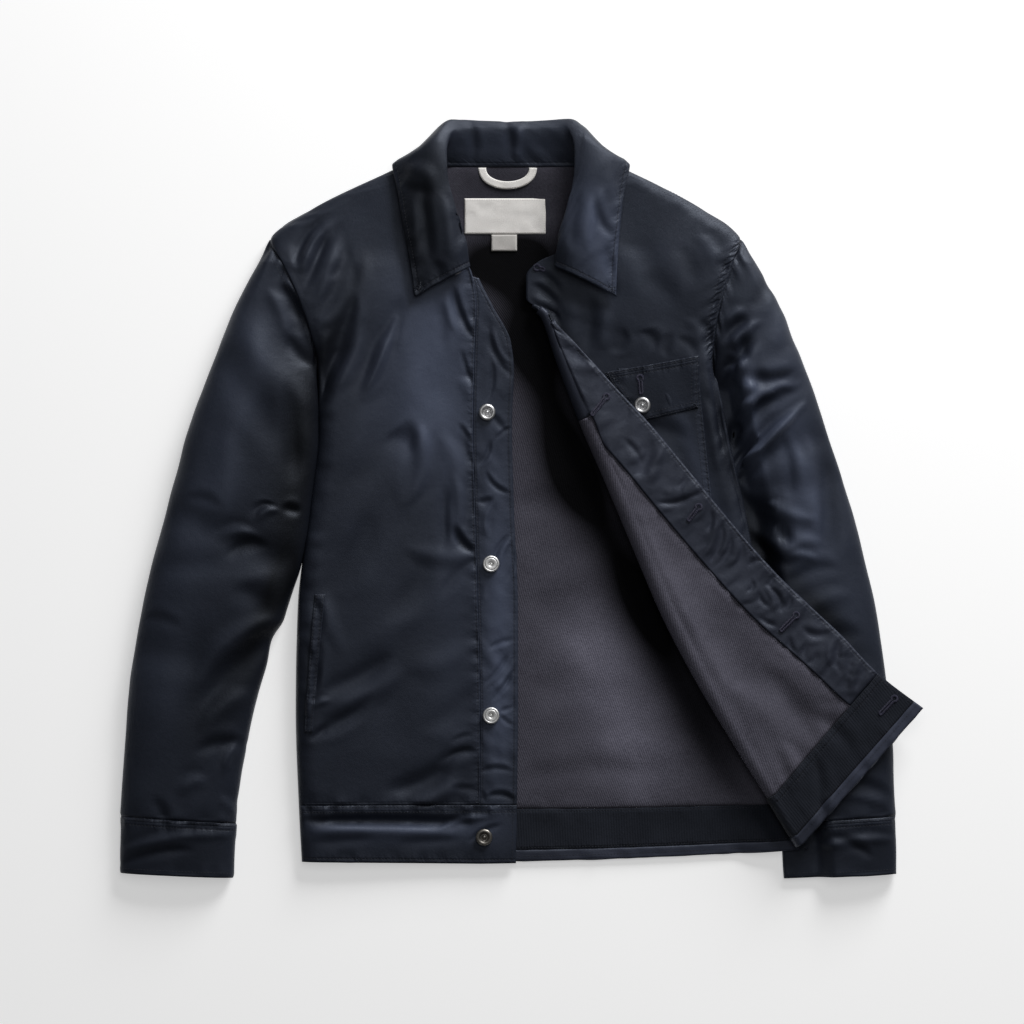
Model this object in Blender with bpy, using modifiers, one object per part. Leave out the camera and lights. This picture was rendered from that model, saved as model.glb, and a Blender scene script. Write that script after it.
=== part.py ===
"""A waxed cotton jacket laid flat on its back, its left front turned back over the left sleeve.

The origin is on the surface it lies on, under the middle of the jacket. +Z is up, +Y points to the
collar and +X to the wearer's left. Lengths in the tables are millimetres; MM turns them to metres.
Every piece of cloth is a surface worked out from a short table, given its wall by Solidify. What is
sewn on a panel reads the panel's own surface, moved out.
"""

import math

import bmesh
import bpy
import numpy as np

MM = 0.001

# Cloth thicknesses and gaps
SHELL = 1.6
LINING = 1.2
CORDUROY = 1.6
COLLAR = 2.2
TAPE = 1.4
SEAM_GAP = 0.3
LAYER_GAP = 0.4
FLAP_GAP = 0.8
ARMHOLE_GAP = 0.7

POCKET_OUT = SHELL + 0.7

# Widths sewn into the jacket
HEM_TURN_IN = 12.0
BUTTON_RADIUS = 8.4
BUTTON_HEIGHT = 4.2

# How far the top sleeve wraps below, as a share of half the ring
UNDER_SEAM = 0.26
UNDER_GAP = 0.017

# Shares of the left front's length, from the neck to the hem
ROLL_START = 0.32
FACING_SPLIT = 0.474
BAND_START = 0.945
TURN_IN_START = 0.989
HALF_SEAM = 0.00015

# The collar is worked out for the right half and mirrored about its own middle
COLLAR_MIDDLE = -9.0
NECK_HALF = 82.0
NECK_CURVE = 24.0
NECK_RISE = 6.5
NECK_ROWS = 0.95
LEFT_TIP_SPREAD = 9.0

# How far the middle of the back's hem lies below its corners
HEM_SAG = 6.0

# Where the body lies on the left sleeve, the sleeve is pressed flat and the body is lifted over it
PRESS_MARGIN = 8.0
PRESSED_ROUND = 3.2
PRESS_RISE = 20.0
BODY_LIFT = 6.8
LIFT_RUN = 45.0
ARMPIT_RUN = 30.0

COLOURS = {
    "waxed_cotton": ((0.020, 0.024, 0.032), 0.48),
    "lining": ((0.050, 0.046, 0.055), 0.85),
    "corduroy": ((0.010, 0.012, 0.020), 0.80),
    "tape": ((0.62, 0.60, 0.57), 0.80),
    "metal": ((0.32, 0.33, 0.35), 0.35),
}


def table(names, *rows):
    """A table of named columns: a dict of arrays, one value for each row."""
    return dict(zip(names.split(), np.array(rows, float).T))


# Right front, from the hem to the neck. side_* is its side seam, armhole and shoulder seam, seam_*
# the placket seam and neckline, edge_* the front edge. crown is its height just inside the side.
RIGHT_FRONT = table(
    "t side_x side_y side_z crown seam_x seam_y seam_z edge_x edge_y edge_z",
    (0.00, -219, -365, 7.0, 13, -40, -367, 8.5, -4, -366.5, 7.5),
    (0.08, -222, -308, 7.2, 16, -40, -308, 9.5, -3, -308, 8.5),
    (0.20, -225, -215, 8.6, 19, -40, -215, 10, -2, -215, 8.5),
    (0.33, -223, -112, 9.8, 21, -42, -112, 10, -2, -112, 8.5),
    (0.46, -210.5, -8, 10.8, 22, -45, -12, 10, -6, -12, 8.5),
    (0.57, -202.5, 72, 11.3, 23, -47, 72, 11, -8, 72, 9),
    (0.66, -203.5, 134, 12, 24, -46, 130, 12, -6, 128, 10),
    (0.71, -209.5, 163, 20, 25, -45, 160, 13, -9, 156, 11),
    (0.77, -221.8, 200.5, 24, 26, -44, 194, 14, -27, 192, 13),
    (0.82, -238.5, 236, 19, 24, -48, 222, 15, -41, 220, 14),
    (0.86, -245.5, 253.5, 12, 21, -57, 246, 14, -50, 244, 13.5),
    (0.91, -206, 281, 11.5, 18, -70, 276, 13, -65, 275, 12.8),
    (0.96, -142, 313, 11, 15, -80, 306, 12, -76, 305, 11.8),
    (1.00, -110, 328, 10, 12, -84, 326, 10, -81, 326, 10),
)

# Left front, from the neck to the hem. outer_* is its shoulder seam, armhole and side seam, crease_*
# the neckline and the outermost line of the roll, cf_* the front edge once turned back. roll is the
# roll's inner radius.
LEFT_FRONT = table(
    "t outer_x outer_y outer_z crown crease_x crease_y crease_z roll cf_x cf_y cf_z",
    (0.00, 89, 328, 10, 12, 66, 326, 10, 3.5, 66, 326, 14),
    (0.05, 120, 313, 11, 15, 60, 303, 12, 3.5, 60, 303, 16),
    (0.10, 180, 281, 11.5, 18, 51, 271, 13, 3.5, 51, 271, 18),
    (0.14, 216, 253.5, 12, 21, 38, 247, 13, 3.5, 38, 247, 18),
    (0.18, 213, 235.5, 19, 23, 17, 236, 12, 3.5, 17, 236, 18),
    (0.22, 201.7, 199.7, 24, 24, 6, 222, 11, 3.5, 6, 222, 18),
    (0.27, 195.1, 162.5, 20, 23, 6, 201, 10.5, 3.5, 10, 201, 18),
    (0.32, 193, 134, 12, 22, 21, 179, 10, 3.8, 33, 177, 18.5),
    (0.40, 201, 102, 13.7, 20, 35, 138, 9.5, 5.6, 52, 158, 20.5),
    (0.48, 213, 42, 13.9, 18, 60, 72, 9, 7.6, 91, 115, 22),
    (0.56, 228, -25, 12.9, 18.5, 86, 12, 9, 8.6, 131, 72, 23),
    (0.64, 239, -85, 12.8, 19.5, 112, -50, 9, 8.8, 169, 26, 24),
    (0.73, 252, -157, 12.7, 19.5, 142, -120, 9.8, 8.6, 212, -26, 25.5),
    (0.82, 264, -222, 12.4, 19, 176, -185, 11.6, 8.0, 257, -77, 27),
    (0.91, 276, -290, 12.4, 18, 226, -268, 14.0, 6.4, 321, -138, 27.5),
    (0.945, 281, -314, 12.5, 17.2, 246.5, -300.5, 14.6, 5.5, 356.5, -175, 27),
    (1.00, 289, -352, 12.6, 16, 275.5, -349.5, 15.2, 3.6, 402, -209.5, 26),
)

# The facing's width down the left front, measured from the front edge straight across
FACING = table(
    "t width",
    (0.32, 39),
    (0.474, 39),
    (0.52, 50.5),
    (0.60, 51),
    (0.75, 49),
    (0.90, 46.5),
    (0.945, 42),
)

# Back, from the hem to the neck. left_* and right_* are its silhouette on each side; *_mid is
# the height of its side seam there, or half the shoulder's; curl the width over which it turns up, end
# the angle that it turns through, in quarters of a circle; under the sleeve's reach below it.
BACK = table(
    "t left_x left_y right_x right_y left_mid right_mid curl end under",
    (0.00, -218.5, -364, 289, -352, 5.5, 3.4, 10, 0, 25),
    (0.08, -222, -308, 280, -306, 6, 3.7, 11, 0, 26),
    (0.22, -225, -202, 260.5, -202, 7.5, 4.2, 12, 0, 27),
    (0.34, -222.8, -106, 242.5, -106, 8.5, 4.6, 12, 0, 40),
    (0.41, -216.5, -51, 233, -51, 9, 4.6, 12, 0, 44),
    (0.48, -209.6, 0, 223, 0, 9.5, 4.5, 12, 0, 38),
    (0.56, -202.8, 62, 209, 62, 9.5, 5.2, 12, 0, 24),
    (0.62, -202.9, 112, 199, 112, 8, 5.4, 12, 0, 10),
    (0.66, -203.5, 136, 193.5, 136, 1.5, 1.5, 10, 0, 0),
    (0.71, -209.5, 163, 195.1, 162.5, 0, 0, 8, 0, 0),
    (0.77, -221.8, 200.5, 201.7, 199.7, 0, 0, 8, -0.4, 0),
    (0.82, -238.5, 236, 213, 235.5, 0, 0, 8, -0.8, 0),
    (0.835, -243, 244, 216.5, 244, 4, 4, 9, -0.85, 0),
    (0.86, -251, 258, 222, 258, 4.6, 4.6, 13, 0, 0),
    (0.885, -238, 273, 210, 273, 5.4, 5.4, 18, 0.9, 0),
    (0.91, -218, 285, 191, 285, 5.5, 5.5, 17.5, 1, 0),
    (0.94, -190, 299, 166, 299, 5.5, 5.5, 18.2, 1, 0),
    (0.96, -162, 313, 141, 313, 5.4, 5.4, 18.4, 1, 0),
    (1.00, -129, 329, 108, 329, 5.2, 5.2, 19, 1, 0),
)

# Sleeves, from the armhole to the wrist. out_* is the outer edge, in_* the inner edge, high the
# height of the crown, bow how far the ring bends towards the body.
SLEEVE_COLUMNS = "t out_x out_y in_x in_y high bow"
RIGHT_SLEEVE = table(
    SLEEVE_COLUMNS,
    (0.00, -252.5, 259, -204, 137, 24, 7),
    (0.07, -266, 230, -204.2, 118, 28, 6),
    (0.14, -282, 198, -203.6, 96, 31, 3),
    (0.25, -306, 140, -203.8, 60, 34, 0),
    (0.36, -325, 90, -208, 20, 35, 0),
    (0.47, -342, 36, -212.4, -16, 34, 0),
    (0.58, -357, -16, -219.2, -62, 33, 0),
    (0.68, -370, -66, -231.5, -106, 32, 0),
    (0.77, -382, -124, -250, -159, 30, 0),
    (0.85, -390, -180, -264, -203, 28, 0),
    (0.93, -397, -250, -277, -264, 25, 0),
    (1.00, -400.5, -319, -285, -326, 22, 0),
    (1.12, -401, -376, -288, -381, 19, 0),
)
LEFT_SLEEVE = table(
    SLEEVE_COLUMNS,
    (0.00, 223.5, 259, 193.5, 137, 24, 7),
    (0.07, 236, 236, 200, 118, 27, 6),
    (0.14, 252, 208, 199, 92, 29, 4),
    (0.25, 279, 148, 195, 60, 30, 0),
    (0.36, 299, 96, 193, 20, 28, 0),
    (0.47, 316, 42, 193, -18, 26, 0),
    (0.58, 332, -12, 195, -60, 24.5, 0),
    (0.68, 346, -66, 208, -106, 23.5, 0),
    (0.77, 359, -124, 226, -155, 23, 0),
    (0.85, 367, -180, 239, -200, 22.5, 0),
    (0.93, 374, -250, 252, -262, 21, 0),
    (1.00, 377, -319, 261, -326, 19.5, 0),
    (1.12, 378, -377, 265, -382, 17.5, 0),
)

# Half of the collar, from its front end to the middle of the back: the neck seam, the middle of the
# stand, the inner side of the fold, its top, the middle of the fall and the collar's edge.
COLLAR_HALF = (
    ((-60, 243, 16), (-55.5, 238, 19.5), (-50, 231, 23.5), (-57, 227, 28.5), (-79, 216, 27.5), (-105, 201, 25)),
    ((-65, 258, 16), (-60, 258, 21), (-54, 256, 27), (-62, 252, 32), (-86, 244, 30.5), (-110, 234, 26)),
    ((-76, 287, 16), (-71, 290, 24), (-65, 292, 30), (-73, 290, 33), (-95, 283, 32), (-117, 272, 25)),
    ((-82, 318, 13), (-78, 321, 23), (-72, 325, 31), (-80, 325, 34), (-102, 316, 32), (-122, 303, 22)),
    ((-80, 332, 9), (-77, 340, 19), (-73, 350, 28), (-81, 354, 31), (-105, 344, 28), (-128, 333, 17)),
    ((-75, 335, 7.5), (-73, 348, 14), (-69, 366, 21), (-75, 373, 20), (-98, 356, 12), (-112, 342, 3.5)),
    ((-64, 335, 5.3), (-63, 350, 11), (-62, 371, 16.5), (-66, 379, 13), (-77, 371, 3), (-88, 346, 0.4)),
    ((-40, 335, 5.1), (-40, 350, 9.5), (-40, 371, 14), (-40, 377.5, 10), (-42, 373, 1.5), (-44, 346, 0.3)),
    ((-9, 335, 5.1), (-9, 350, 9.5), (-9, 371, 14), (-9, 377, 10), (-9, 372, 1.5), (-9, 345, 0.3)),
)

# The largest folds: a straight trough (depth below 0) or ridge between two points, on each panel.
FOLD_COLUMNS = "x0 y0 x1 y1 width depth"
SLEEVE_FOLDS = table(
    FOLD_COLUMNS,
    (-330, -20, -240, -60, 16, -3.0),
    (-345, -70, -262, -64, 14, -2.2),
    (-225, 40, -290, 130, 18, -3.0),
    (-240, 110, -285, 175, 16, 2.0),
    (-385, -150, -300, -170, 18, -1.8),
    (215, 60, 285, 120, 14, -3.2),
    (222, 40, 300, 62, 14, -2.6),
    (240, 0, 310, 20, 15, -2.0),
    (290, -170, 355, -160, 16, -1.6),
)
FRONT_FOLDS = table(
    FOLD_COLUMNS,
    (-205, 120, -150, 160, 18, -2.0),
    (-190, -60, -130, -230, 24, -1.6),
    (-120, 150, -90, 60, 24, 1.6),
    (-210, -322, -55, -324, 9, -2.0),
    (120, 250, 150, 190, 20, -1.8),
    (180, 130, 222, -20, 14, 2.0),
)
FLAP_FOLDS = table(
    FOLD_COLUMNS,
    (120, 20, 180, 10, 18, 1.4),
    (200, -60, 300, -120, 22, -1.4),
    (230, -200, 330, -170, 24, 1.5),
    (150, -60, 230, -200, 26, -1.2),
)

collection = bpy.data.collections.new("waxed_cotton_jacket")


def smooth(share):
    """0 to 1 with flat ends."""
    share = np.clip(share, 0.0, 1.0)
    return share * share * (3 - 2 * share)


def read(columns, name, t):
    """A column of a table at t, on a smooth curve that doesn't overshoot its rows."""
    xs, ys = columns["t"], columns[name]
    steps = np.diff(xs)
    rates = np.diff(ys) / steps
    slopes = np.zeros_like(ys)
    slopes[0], slopes[-1] = rates[0], rates[-1]
    same_way = rates[:-1] * rates[1:] > 0
    before = 2 * steps[1:] + steps[:-1]
    after = steps[1:] + 2 * steps[:-1]
    safe = np.where(same_way, rates[:-1], 1), np.where(same_way, rates[1:], 1)
    harmonic = (before + after) / (before / safe[0] + after / safe[1])
    slopes[1:-1] = np.where(same_way, harmonic, 0)
    t = np.clip(t, xs[0], xs[-1])
    row = np.clip(np.searchsorted(xs, t, side="right") - 1, 0, len(steps) - 1)
    share = (t - xs[row]) / steps[row]
    square, cube = share**2, share**3
    return (
        (2 * cube - 3 * square + 1) * ys[row]
        + (cube - 2 * square + share) * steps[row] * slopes[row]
        + (3 * square - 2 * cube) * ys[row + 1]
        + (cube - square) * steps[row] * slopes[row + 1]
    )


def read_point(columns, stem, t):
    """The x, y and z columns of one named point, as points."""
    return np.stack([read(columns, f"{stem}_{axis}", t) for axis in "xyz"], -1)


def mix(start, end, share):
    return start + (end - start) * share[..., None]


def fold_height(folds, x, y):
    """The sum of the folds at x, y: each a soft round ridge or trough that fades out at its ends."""
    height = np.zeros_like(x)
    for x0, y0, x1, y1, width, depth in np.stack(list(folds.values()), 1):
        length = math.hypot(x1 - x0, y1 - y0)
        along = ((x - x0) * (x1 - x0) + (y - y0) * (y1 - y0)) / length
        across = ((x - x0) * (y1 - y0) - (y - y0) * (x1 - x0)) / length
        past_end = np.maximum(0, np.maximum(-along, along - length))
        height += depth * np.exp(-((across / width) ** 2) - (past_end / (1.5 * width)) ** 2)
    return height


def quarter_round(distance, band):
    """0 at the edge, rising as a quarter circle to 1 at the band's far side."""
    share = np.clip(distance / band, 0, 1)
    return np.sqrt(np.clip(1 - (1 - share) ** 2, 0, 1))


def front_panel(edge, seam, crown, share, band=20.0):
    """Across a front: up round the side to the crown, then gently down to the far seam."""
    point = mix(edge, seam, share)
    width = np.linalg.norm((seam - edge)[..., :2], axis=-1)
    distance = share * width
    band = np.minimum(band, 0.6 * width)
    top = crown + (seam[..., 2] - crown) * smooth(share)
    point[..., 2] = edge[..., 2] + (top - edge[..., 2]) * quarter_round(distance, band)
    return point


def right_front(t, s):
    """Outer face: s runs 0 to 1 from the side to the placket seam, and 1 to 2 over the placket."""
    side = read_point(RIGHT_FRONT, "side", t)
    seam = read_point(RIGHT_FRONT, "seam", t)
    edge = read_point(RIGHT_FRONT, "edge", t)
    crown = read(RIGHT_FRONT, "crown", t)
    panel = front_panel(side, seam, crown, np.clip(s, 0, 1))
    folds = fold_height(FRONT_FOLDS, panel[..., 0], panel[..., 1])
    panel[..., 2] += folds * smooth(s / 0.15) * smooth((1 - s) / 0.1)
    placket = mix(seam, edge, s - 1)
    placket[..., 2] = seam[..., 2] + (edge - seam)[..., 2] * np.clip(s - 1, 0, 1) ** 3
    return np.where((s > 1)[..., None], placket, panel)


def roll_frame(t):
    """Centre line, inward direction and inner radius of the left front's roll."""
    step = 0.004
    crease = read_point(LEFT_FRONT, "crease", t)
    ahead = read_point(LEFT_FRONT, "crease", np.minimum(t + step, 1))
    behind = read_point(LEFT_FRONT, "crease", np.maximum(t - step, 0))
    along = ahead - behind
    inward = np.stack([-along[..., 1], along[..., 0]], -1)
    inward = inward / np.linalg.norm(inward, axis=-1, keepdims=True)
    radius = read(LEFT_FRONT, "roll", t)
    layers = SHELL + FLAP_GAP + CORDUROY
    centre = crease.copy()
    centre[..., :2] += inward * (radius + layers)[..., None]
    centre[..., 2] += radius
    return crease, centre, inward, radius


def left_front(t, s):
    """Outer face: s runs 0 to 1 over the lower layer, 1 to 2 round the roll, 2 to 3 to the edge."""
    outer = read_point(LEFT_FRONT, "outer", t)
    crown = read(LEFT_FRONT, "crown", t)
    crease, centre, inward, radius = roll_frame(t)
    rolled = (t >= ROLL_START - 0.002)[..., None]
    start = centre.copy()
    start[..., 2] -= radius
    start = np.where(rolled, start, crease)
    lower = front_panel(outer, start, crown, np.clip(s, 0, 1))
    folds = fold_height(FRONT_FOLDS, lower[..., 0], lower[..., 1])
    lower[..., 2] += folds * smooth(s / 0.15) * smooth((1 - s) / 0.2)
    turn = np.clip(s - 1, 0, 1) * math.pi
    roll = centre.copy()
    roll[..., :2] -= inward * (radius * np.sin(turn))[..., None]
    roll[..., 2] -= radius * np.cos(turn)
    top = centre.copy()
    top[..., 2] += radius
    share = np.clip(s - 2, 0, 1)
    flap = mix(top, read_point(LEFT_FRONT, "cf", t), share)
    flap[..., 2] = top[..., 2] + (read(LEFT_FRONT, "cf_z", t) - top[..., 2]) * smooth(share)
    flap[..., 2] += fold_height(FLAP_FOLDS, flap[..., 0], flap[..., 1]) * smooth(share / 0.25)
    return np.where((s > 2)[..., None], flap, np.where((s > 1)[..., None], roll, lower))


def across_lengths(t):
    """Lengths of the left front's flap, of its roll round the inner face, and of its lower layer."""
    _, centre, _, radius = roll_frame(t)
    flap = np.linalg.norm((read_point(LEFT_FRONT, "cf", t) - centre)[..., :2], axis=-1)
    lower = np.linalg.norm((read_point(LEFT_FRONT, "outer", t) - centre)[..., :2], axis=-1)
    return flap, math.pi * (radius + SHELL), lower


def share_from_edge(t, distance):
    """The left front's s at a distance from its turned-back edge, over the flap and round the roll."""
    flap, arc, lower = across_lengths(t)
    on_flap = 3 - distance / flap
    on_roll = 2 - (distance - flap) / arc
    on_lower = 1 - (distance - flap - arc) / lower
    return np.where(distance <= flap, on_flap, np.where(distance <= flap + arc, on_roll, on_lower))


def lift(t, x):
    """Height of the back's lower face where the left sleeve lies under it."""
    under = read(BACK, "under", t)
    inside = read(BACK, "right_x", t) - x
    return BODY_LIFT * smooth(under / 8) * smooth(1 - (inside - under - PRESS_MARGIN) / LIFT_RUN)


def back_panel(t, s):
    """Outer face: s runs 0 to 1 down the curl at -X, 1 to 2 across, and 2 to 3 up the curl at +X."""
    left = np.stack([read(BACK, "left_x", t), read(BACK, "left_y", t)], -1)
    right = np.stack([read(BACK, "right_x", t), read(BACK, "right_y", t)], -1)
    curl, end = read(BACK, "curl", t), read(BACK, "end", t)
    mid = np.where(s < 1.5, read(BACK, "left_mid", t), read(BACK, "right_mid", t))
    angle = -0.5 * math.pi + np.clip(1 - s, 0, 1) * (1 + end) * 0.5 * math.pi
    angle = np.where(s > 2, -0.5 * math.pi + (s - 2) * (1 + end) * 0.5 * math.pi, angle)
    width = np.linalg.norm(right - left, axis=-1)
    reach = np.cos(np.minimum(0, end) * 0.5 * math.pi)
    inset = curl * (1 - np.cos(angle) / reach) / width
    flat = curl / width + (s - 1) * (1 - 2 * curl / width)
    share = np.where(s < 1, inset, np.where(s > 2, 1 - inset, flat))
    plan = mix(left, right, share)
    near_neck = smooth((NECK_HALF - np.abs(plan[..., 0] - COLLAR_MIDDLE)) / NECK_CURVE)
    plan[..., 1] += NECK_RISE * near_neck * smooth((t - NECK_ROWS) / (1 - NECK_ROWS))
    plan[..., 1] -= HEM_SAG * 4 * share * (1 - share) * smooth(1 - t / 0.45)
    height = mid * (1 + np.sin(angle))
    height = np.where((s >= 1) & (s <= 2), 0, height) + lift(t, plan[..., 0])
    return np.concatenate([plan, height[..., None]], -1)


def sleeve_ring(columns, t, s, armhole, free=None):
    """Outer face of a sleeve: s runs 0 to 1 over the top from the inner edge, 1 to 2 back beneath.

    The ring is a flattened round with its widest part low down and its underside on the surface. At
    the armhole its top has the height of the front's edge, and it turns to its own crown by the
    second tenth of its length. Where free is below 1 the ring is pressed flat with a small round edge.
    """
    s = np.mod(s, 2)
    outer = np.stack([read(columns, "out_x", t), read(columns, "out_y", t)], -1)
    inner = np.stack([read(columns, "in_x", t), read(columns, "in_y", t)], -1)
    high, bow = read(columns, "high", t), read(columns, "bow", t)
    angle = math.pi * (1 - s)
    across = 0.5 + 0.5 * np.sign(np.cos(angle)) * np.abs(np.cos(angle)) ** 0.85
    plan = mix(inner, outer, across)
    chord = outer - inner
    width = np.linalg.norm(chord, axis=-1)
    chord = chord / width[..., None]
    to_body = np.stack([-chord[..., 1], chord[..., 0]], -1) * np.sign(columns["in_x"][0])
    away = ARMHOLE_GAP * smooth(1 - t / 0.1)
    plan += to_body * (bow * 4 * across * (1 - across) - away)[..., None]
    widest = 0.30 * high
    rise = np.abs(np.sin(angle))
    own_top = widest + (high - widest) * rise**0.8
    seam_top = widest + (armhole(plan[..., 1]) - widest) * np.minimum(1, rise * 1.6) ** 0.6
    top = seam_top + (own_top - seam_top) * smooth(t / 0.2)
    top += fold_height(SLEEVE_FOLDS, plan[..., 0], plan[..., 1]) * smooth(rise) * smooth(t / 0.15)
    below = np.maximum(0, widest * (1 - 1.3 * rise**0.6))
    if free is not None:
        share = free(plan)
        rounding = PRESSED_ROUND * quarter_round(across * width, PRESSED_ROUND)
        top = PRESSED_ROUND + rounding + (top - PRESSED_ROUND - rounding) * share
        below = PRESSED_ROUND - rounding + (below - PRESSED_ROUND + rounding) * share
    return np.concatenate([plan, np.where(s <= 1, top, below)[..., None]], -1)


def armhole_of(columns, stem):
    """The height of a front's armhole edge as a function of y."""
    rows = slice(6, 11) if stem == "side" else slice(3, 8)
    ys, zs = columns[stem + "_y"][rows], columns[stem + "_z"][rows]
    order = np.argsort(ys)
    return lambda y: np.interp(y, ys[order], zs[order])


def right_sleeve(t, s):
    return sleeve_ring(RIGHT_SLEEVE, t, s, armhole_of(RIGHT_FRONT, "side"))


def clear_of_body(plan):
    """0 where the body lies on the left sleeve, rising to 1 outside the body's side edge."""
    below_armpit = slice(0, 9)
    edge_y, edge_x = BACK["right_y"][below_armpit], BACK["right_x"][below_armpit]
    edge = np.interp(plan[..., 1], edge_y, edge_x)
    outside = smooth((plan[..., 0] - edge - PRESS_MARGIN) / PRESS_RISE)
    started = smooth((edge_y[-1] - plan[..., 1]) / ARMPIT_RUN)
    return 1 - (1 - outside) * started


def left_sleeve(t, s):
    return sleeve_ring(LEFT_SLEEVE, t, s, armhole_of(LEFT_FRONT, "outer"), clear_of_body)


def collar(t, s):
    """Upper collar's face: t runs 0 to 1 round the neck, s 0 to 1 from the neck seam to the edge."""
    half = np.array(COLLAR_HALF, float)
    other = half[::-1][1:].copy()
    other[..., 0] = 2 * COLLAR_MIDDLE - other[..., 0]
    spread = np.linspace(0, 1, half.shape[1])[None, :] * np.linspace(-2, 1, len(other))[:, None]
    other[..., 0] += LEFT_TIP_SPREAD * np.clip(spread, 0, None)
    whole = np.concatenate([half, other])
    stations = np.linspace(0, 1, len(whole))
    steps = np.array([0.0, 0.17, 0.36, 0.46, 0.72, 1.0])
    along = [
        [read({"t": stations, "v": whole[:, step, axis]}, "v", t) for axis in range(3)]
        for step in range(len(steps))
    ]
    along = np.array(along)
    flat_s, result = s.ravel(), np.empty(s.shape + (3,))
    for axis in range(3):
        points = along[:, axis].reshape(len(steps), -1)
        result[..., axis] = spline_across(steps, points, flat_s).reshape(s.shape)
    return result


def spline_across(stations, values, wanted):
    """Column by column, a smooth curve through values (one row a station) read at wanted."""
    slopes = np.gradient(values, stations, axis=0)
    row = np.clip(np.searchsorted(stations, wanted, side="right") - 1, 0, len(stations) - 2)
    step = stations[row + 1] - stations[row]
    share = (wanted - stations[row]) / step
    column = np.arange(len(wanted))
    square, cube = share**2, share**3
    return (
        (2 * cube - 3 * square + 1) * values[row, column]
        + (cube - 2 * square + share) * step * slopes[row, column]
        + (3 * square - 2 * cube) * values[row + 1, column]
        + (cube - square) * step * slopes[row + 1, column]
    )


def outward(surface, t, s, sign):
    """Unit normals of a surface by central differences. sign picks the side that is outward."""
    step = 1e-3
    along_t = surface(t + step, s) - surface(t - step, s)
    along_s = surface(t, s + step) - surface(t, s - step)
    normal = np.cross(along_t, along_s) * sign
    length = np.linalg.norm(normal, axis=-1, keepdims=True)
    return normal / np.maximum(length, 1e-12)


def material(name):
    """A plain finish of this colour and roughness, made once."""
    if name in bpy.data.materials:
        return bpy.data.materials[name]
    colour, roughness = COLOURS[name]
    made = bpy.data.materials.new(name)
    made.use_nodes = True
    shader = made.node_tree.nodes["Principled BSDF"]
    shader.inputs["Base Color"].default_value = (*colour, 1)
    shader.inputs["Roughness"].default_value = roughness
    shader.inputs["Metallic"].default_value = 1.0 if name == "metal" else 0.0
    return made


def add_object(name, mesh, slot):
    mesh.materials.append(material(slot))
    obj = bpy.data.objects.new(name, mesh)
    collection.objects.link(obj)
    return obj


def sheet(name, points, thickness, slot, keep=None):
    """Cloth through a grid of points, its wall laid behind their face by Solidify."""
    rows, columns = points.shape[:2]
    grid = bmesh.new()
    bmesh.ops.create_grid(grid, x_segments=columns - 1, y_segments=rows - 1, size=1)
    grid.verts.ensure_lookup_table()
    places = points.reshape(-1, 3) * MM
    for vertex, place in zip(grid.verts, places):
        vertex.co = place
    if keep is not None:
        gone = [grid.verts[i] for i in np.flatnonzero(~keep.reshape(-1))]
        bmesh.ops.delete(grid, geom=gone, context="VERTS")
    mesh = bpy.data.meshes.new(name)
    grid.to_mesh(mesh)
    grid.free()
    obj = add_object(name, mesh, slot)
    wall = obj.modifiers.new("wall", "SOLIDIFY")
    wall.thickness = thickness * MM
    wall.offset = -1
    wall.use_quality_normals = True
    return obj


def cloth(name, surface, t, s, thickness, slot, sign, out=0.0, keep=None):
    """A piece of cloth on a surface: t and s are its rows and columns, out its distance outward."""
    if np.ndim(t) == 1:
        t, s = np.meshgrid(t, s, indexing="ij")
    points = surface(t, s) + outward(surface, t, s, sign) * out
    if sign > 0:
        points = points[:, ::-1]
        keep = None if keep is None else keep[:, ::-1]
    return sheet(name, points, thickness, slot, keep)


def span(start, end, count):
    return np.linspace(start, end, count)


def make_back():
    """Shell, waistband, lining, corduroy hem facing and turned-in hem of the back."""
    seam = 0.08
    flat = 2 - np.array([1, 0.86, 0.72, 0.58, 0.44, 0.33, 0.25, 0.19, 0.15, 0.12, 0.09, 0.06, 0.03, 0])
    across = np.concatenate([span(0, 0.8, 4), flat, span(2.2, 3, 4)])
    rows = np.concatenate([span(seam + 0.0002, 0.62, 13), span(0.66, 1, 13)])
    cloth("back", back_panel, rows, across, SHELL, "waxed_cotton", 1)
    cloth("back_waistband", back_panel, span(0, seam - 0.0002, 4), across, SHELL, "waxed_cotton", 1)
    behind = -(SHELL + LAYER_GAP)
    lined = np.concatenate([[0.9], flat, [2.1]])
    lining_rows = np.concatenate([span(seam + 0.0002, 0.62, 11), span(0.67, 0.999, 9)])
    cloth("back_lining", back_panel, lining_rows, lined, LINING, "lining", 1, behind)
    turn = HEM_TURN_IN / 56 * seam
    hem_rows = span(turn + 0.0004, seam - 0.0002, 3)
    cloth("back_hem_facing", back_panel, hem_rows, lined, CORDUROY, "corduroy", 1, behind)
    cloth("back_hem_turn_in", back_panel, span(0.0, turn, 2), lined, SHELL, "waxed_cotton", 1, behind)


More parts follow.
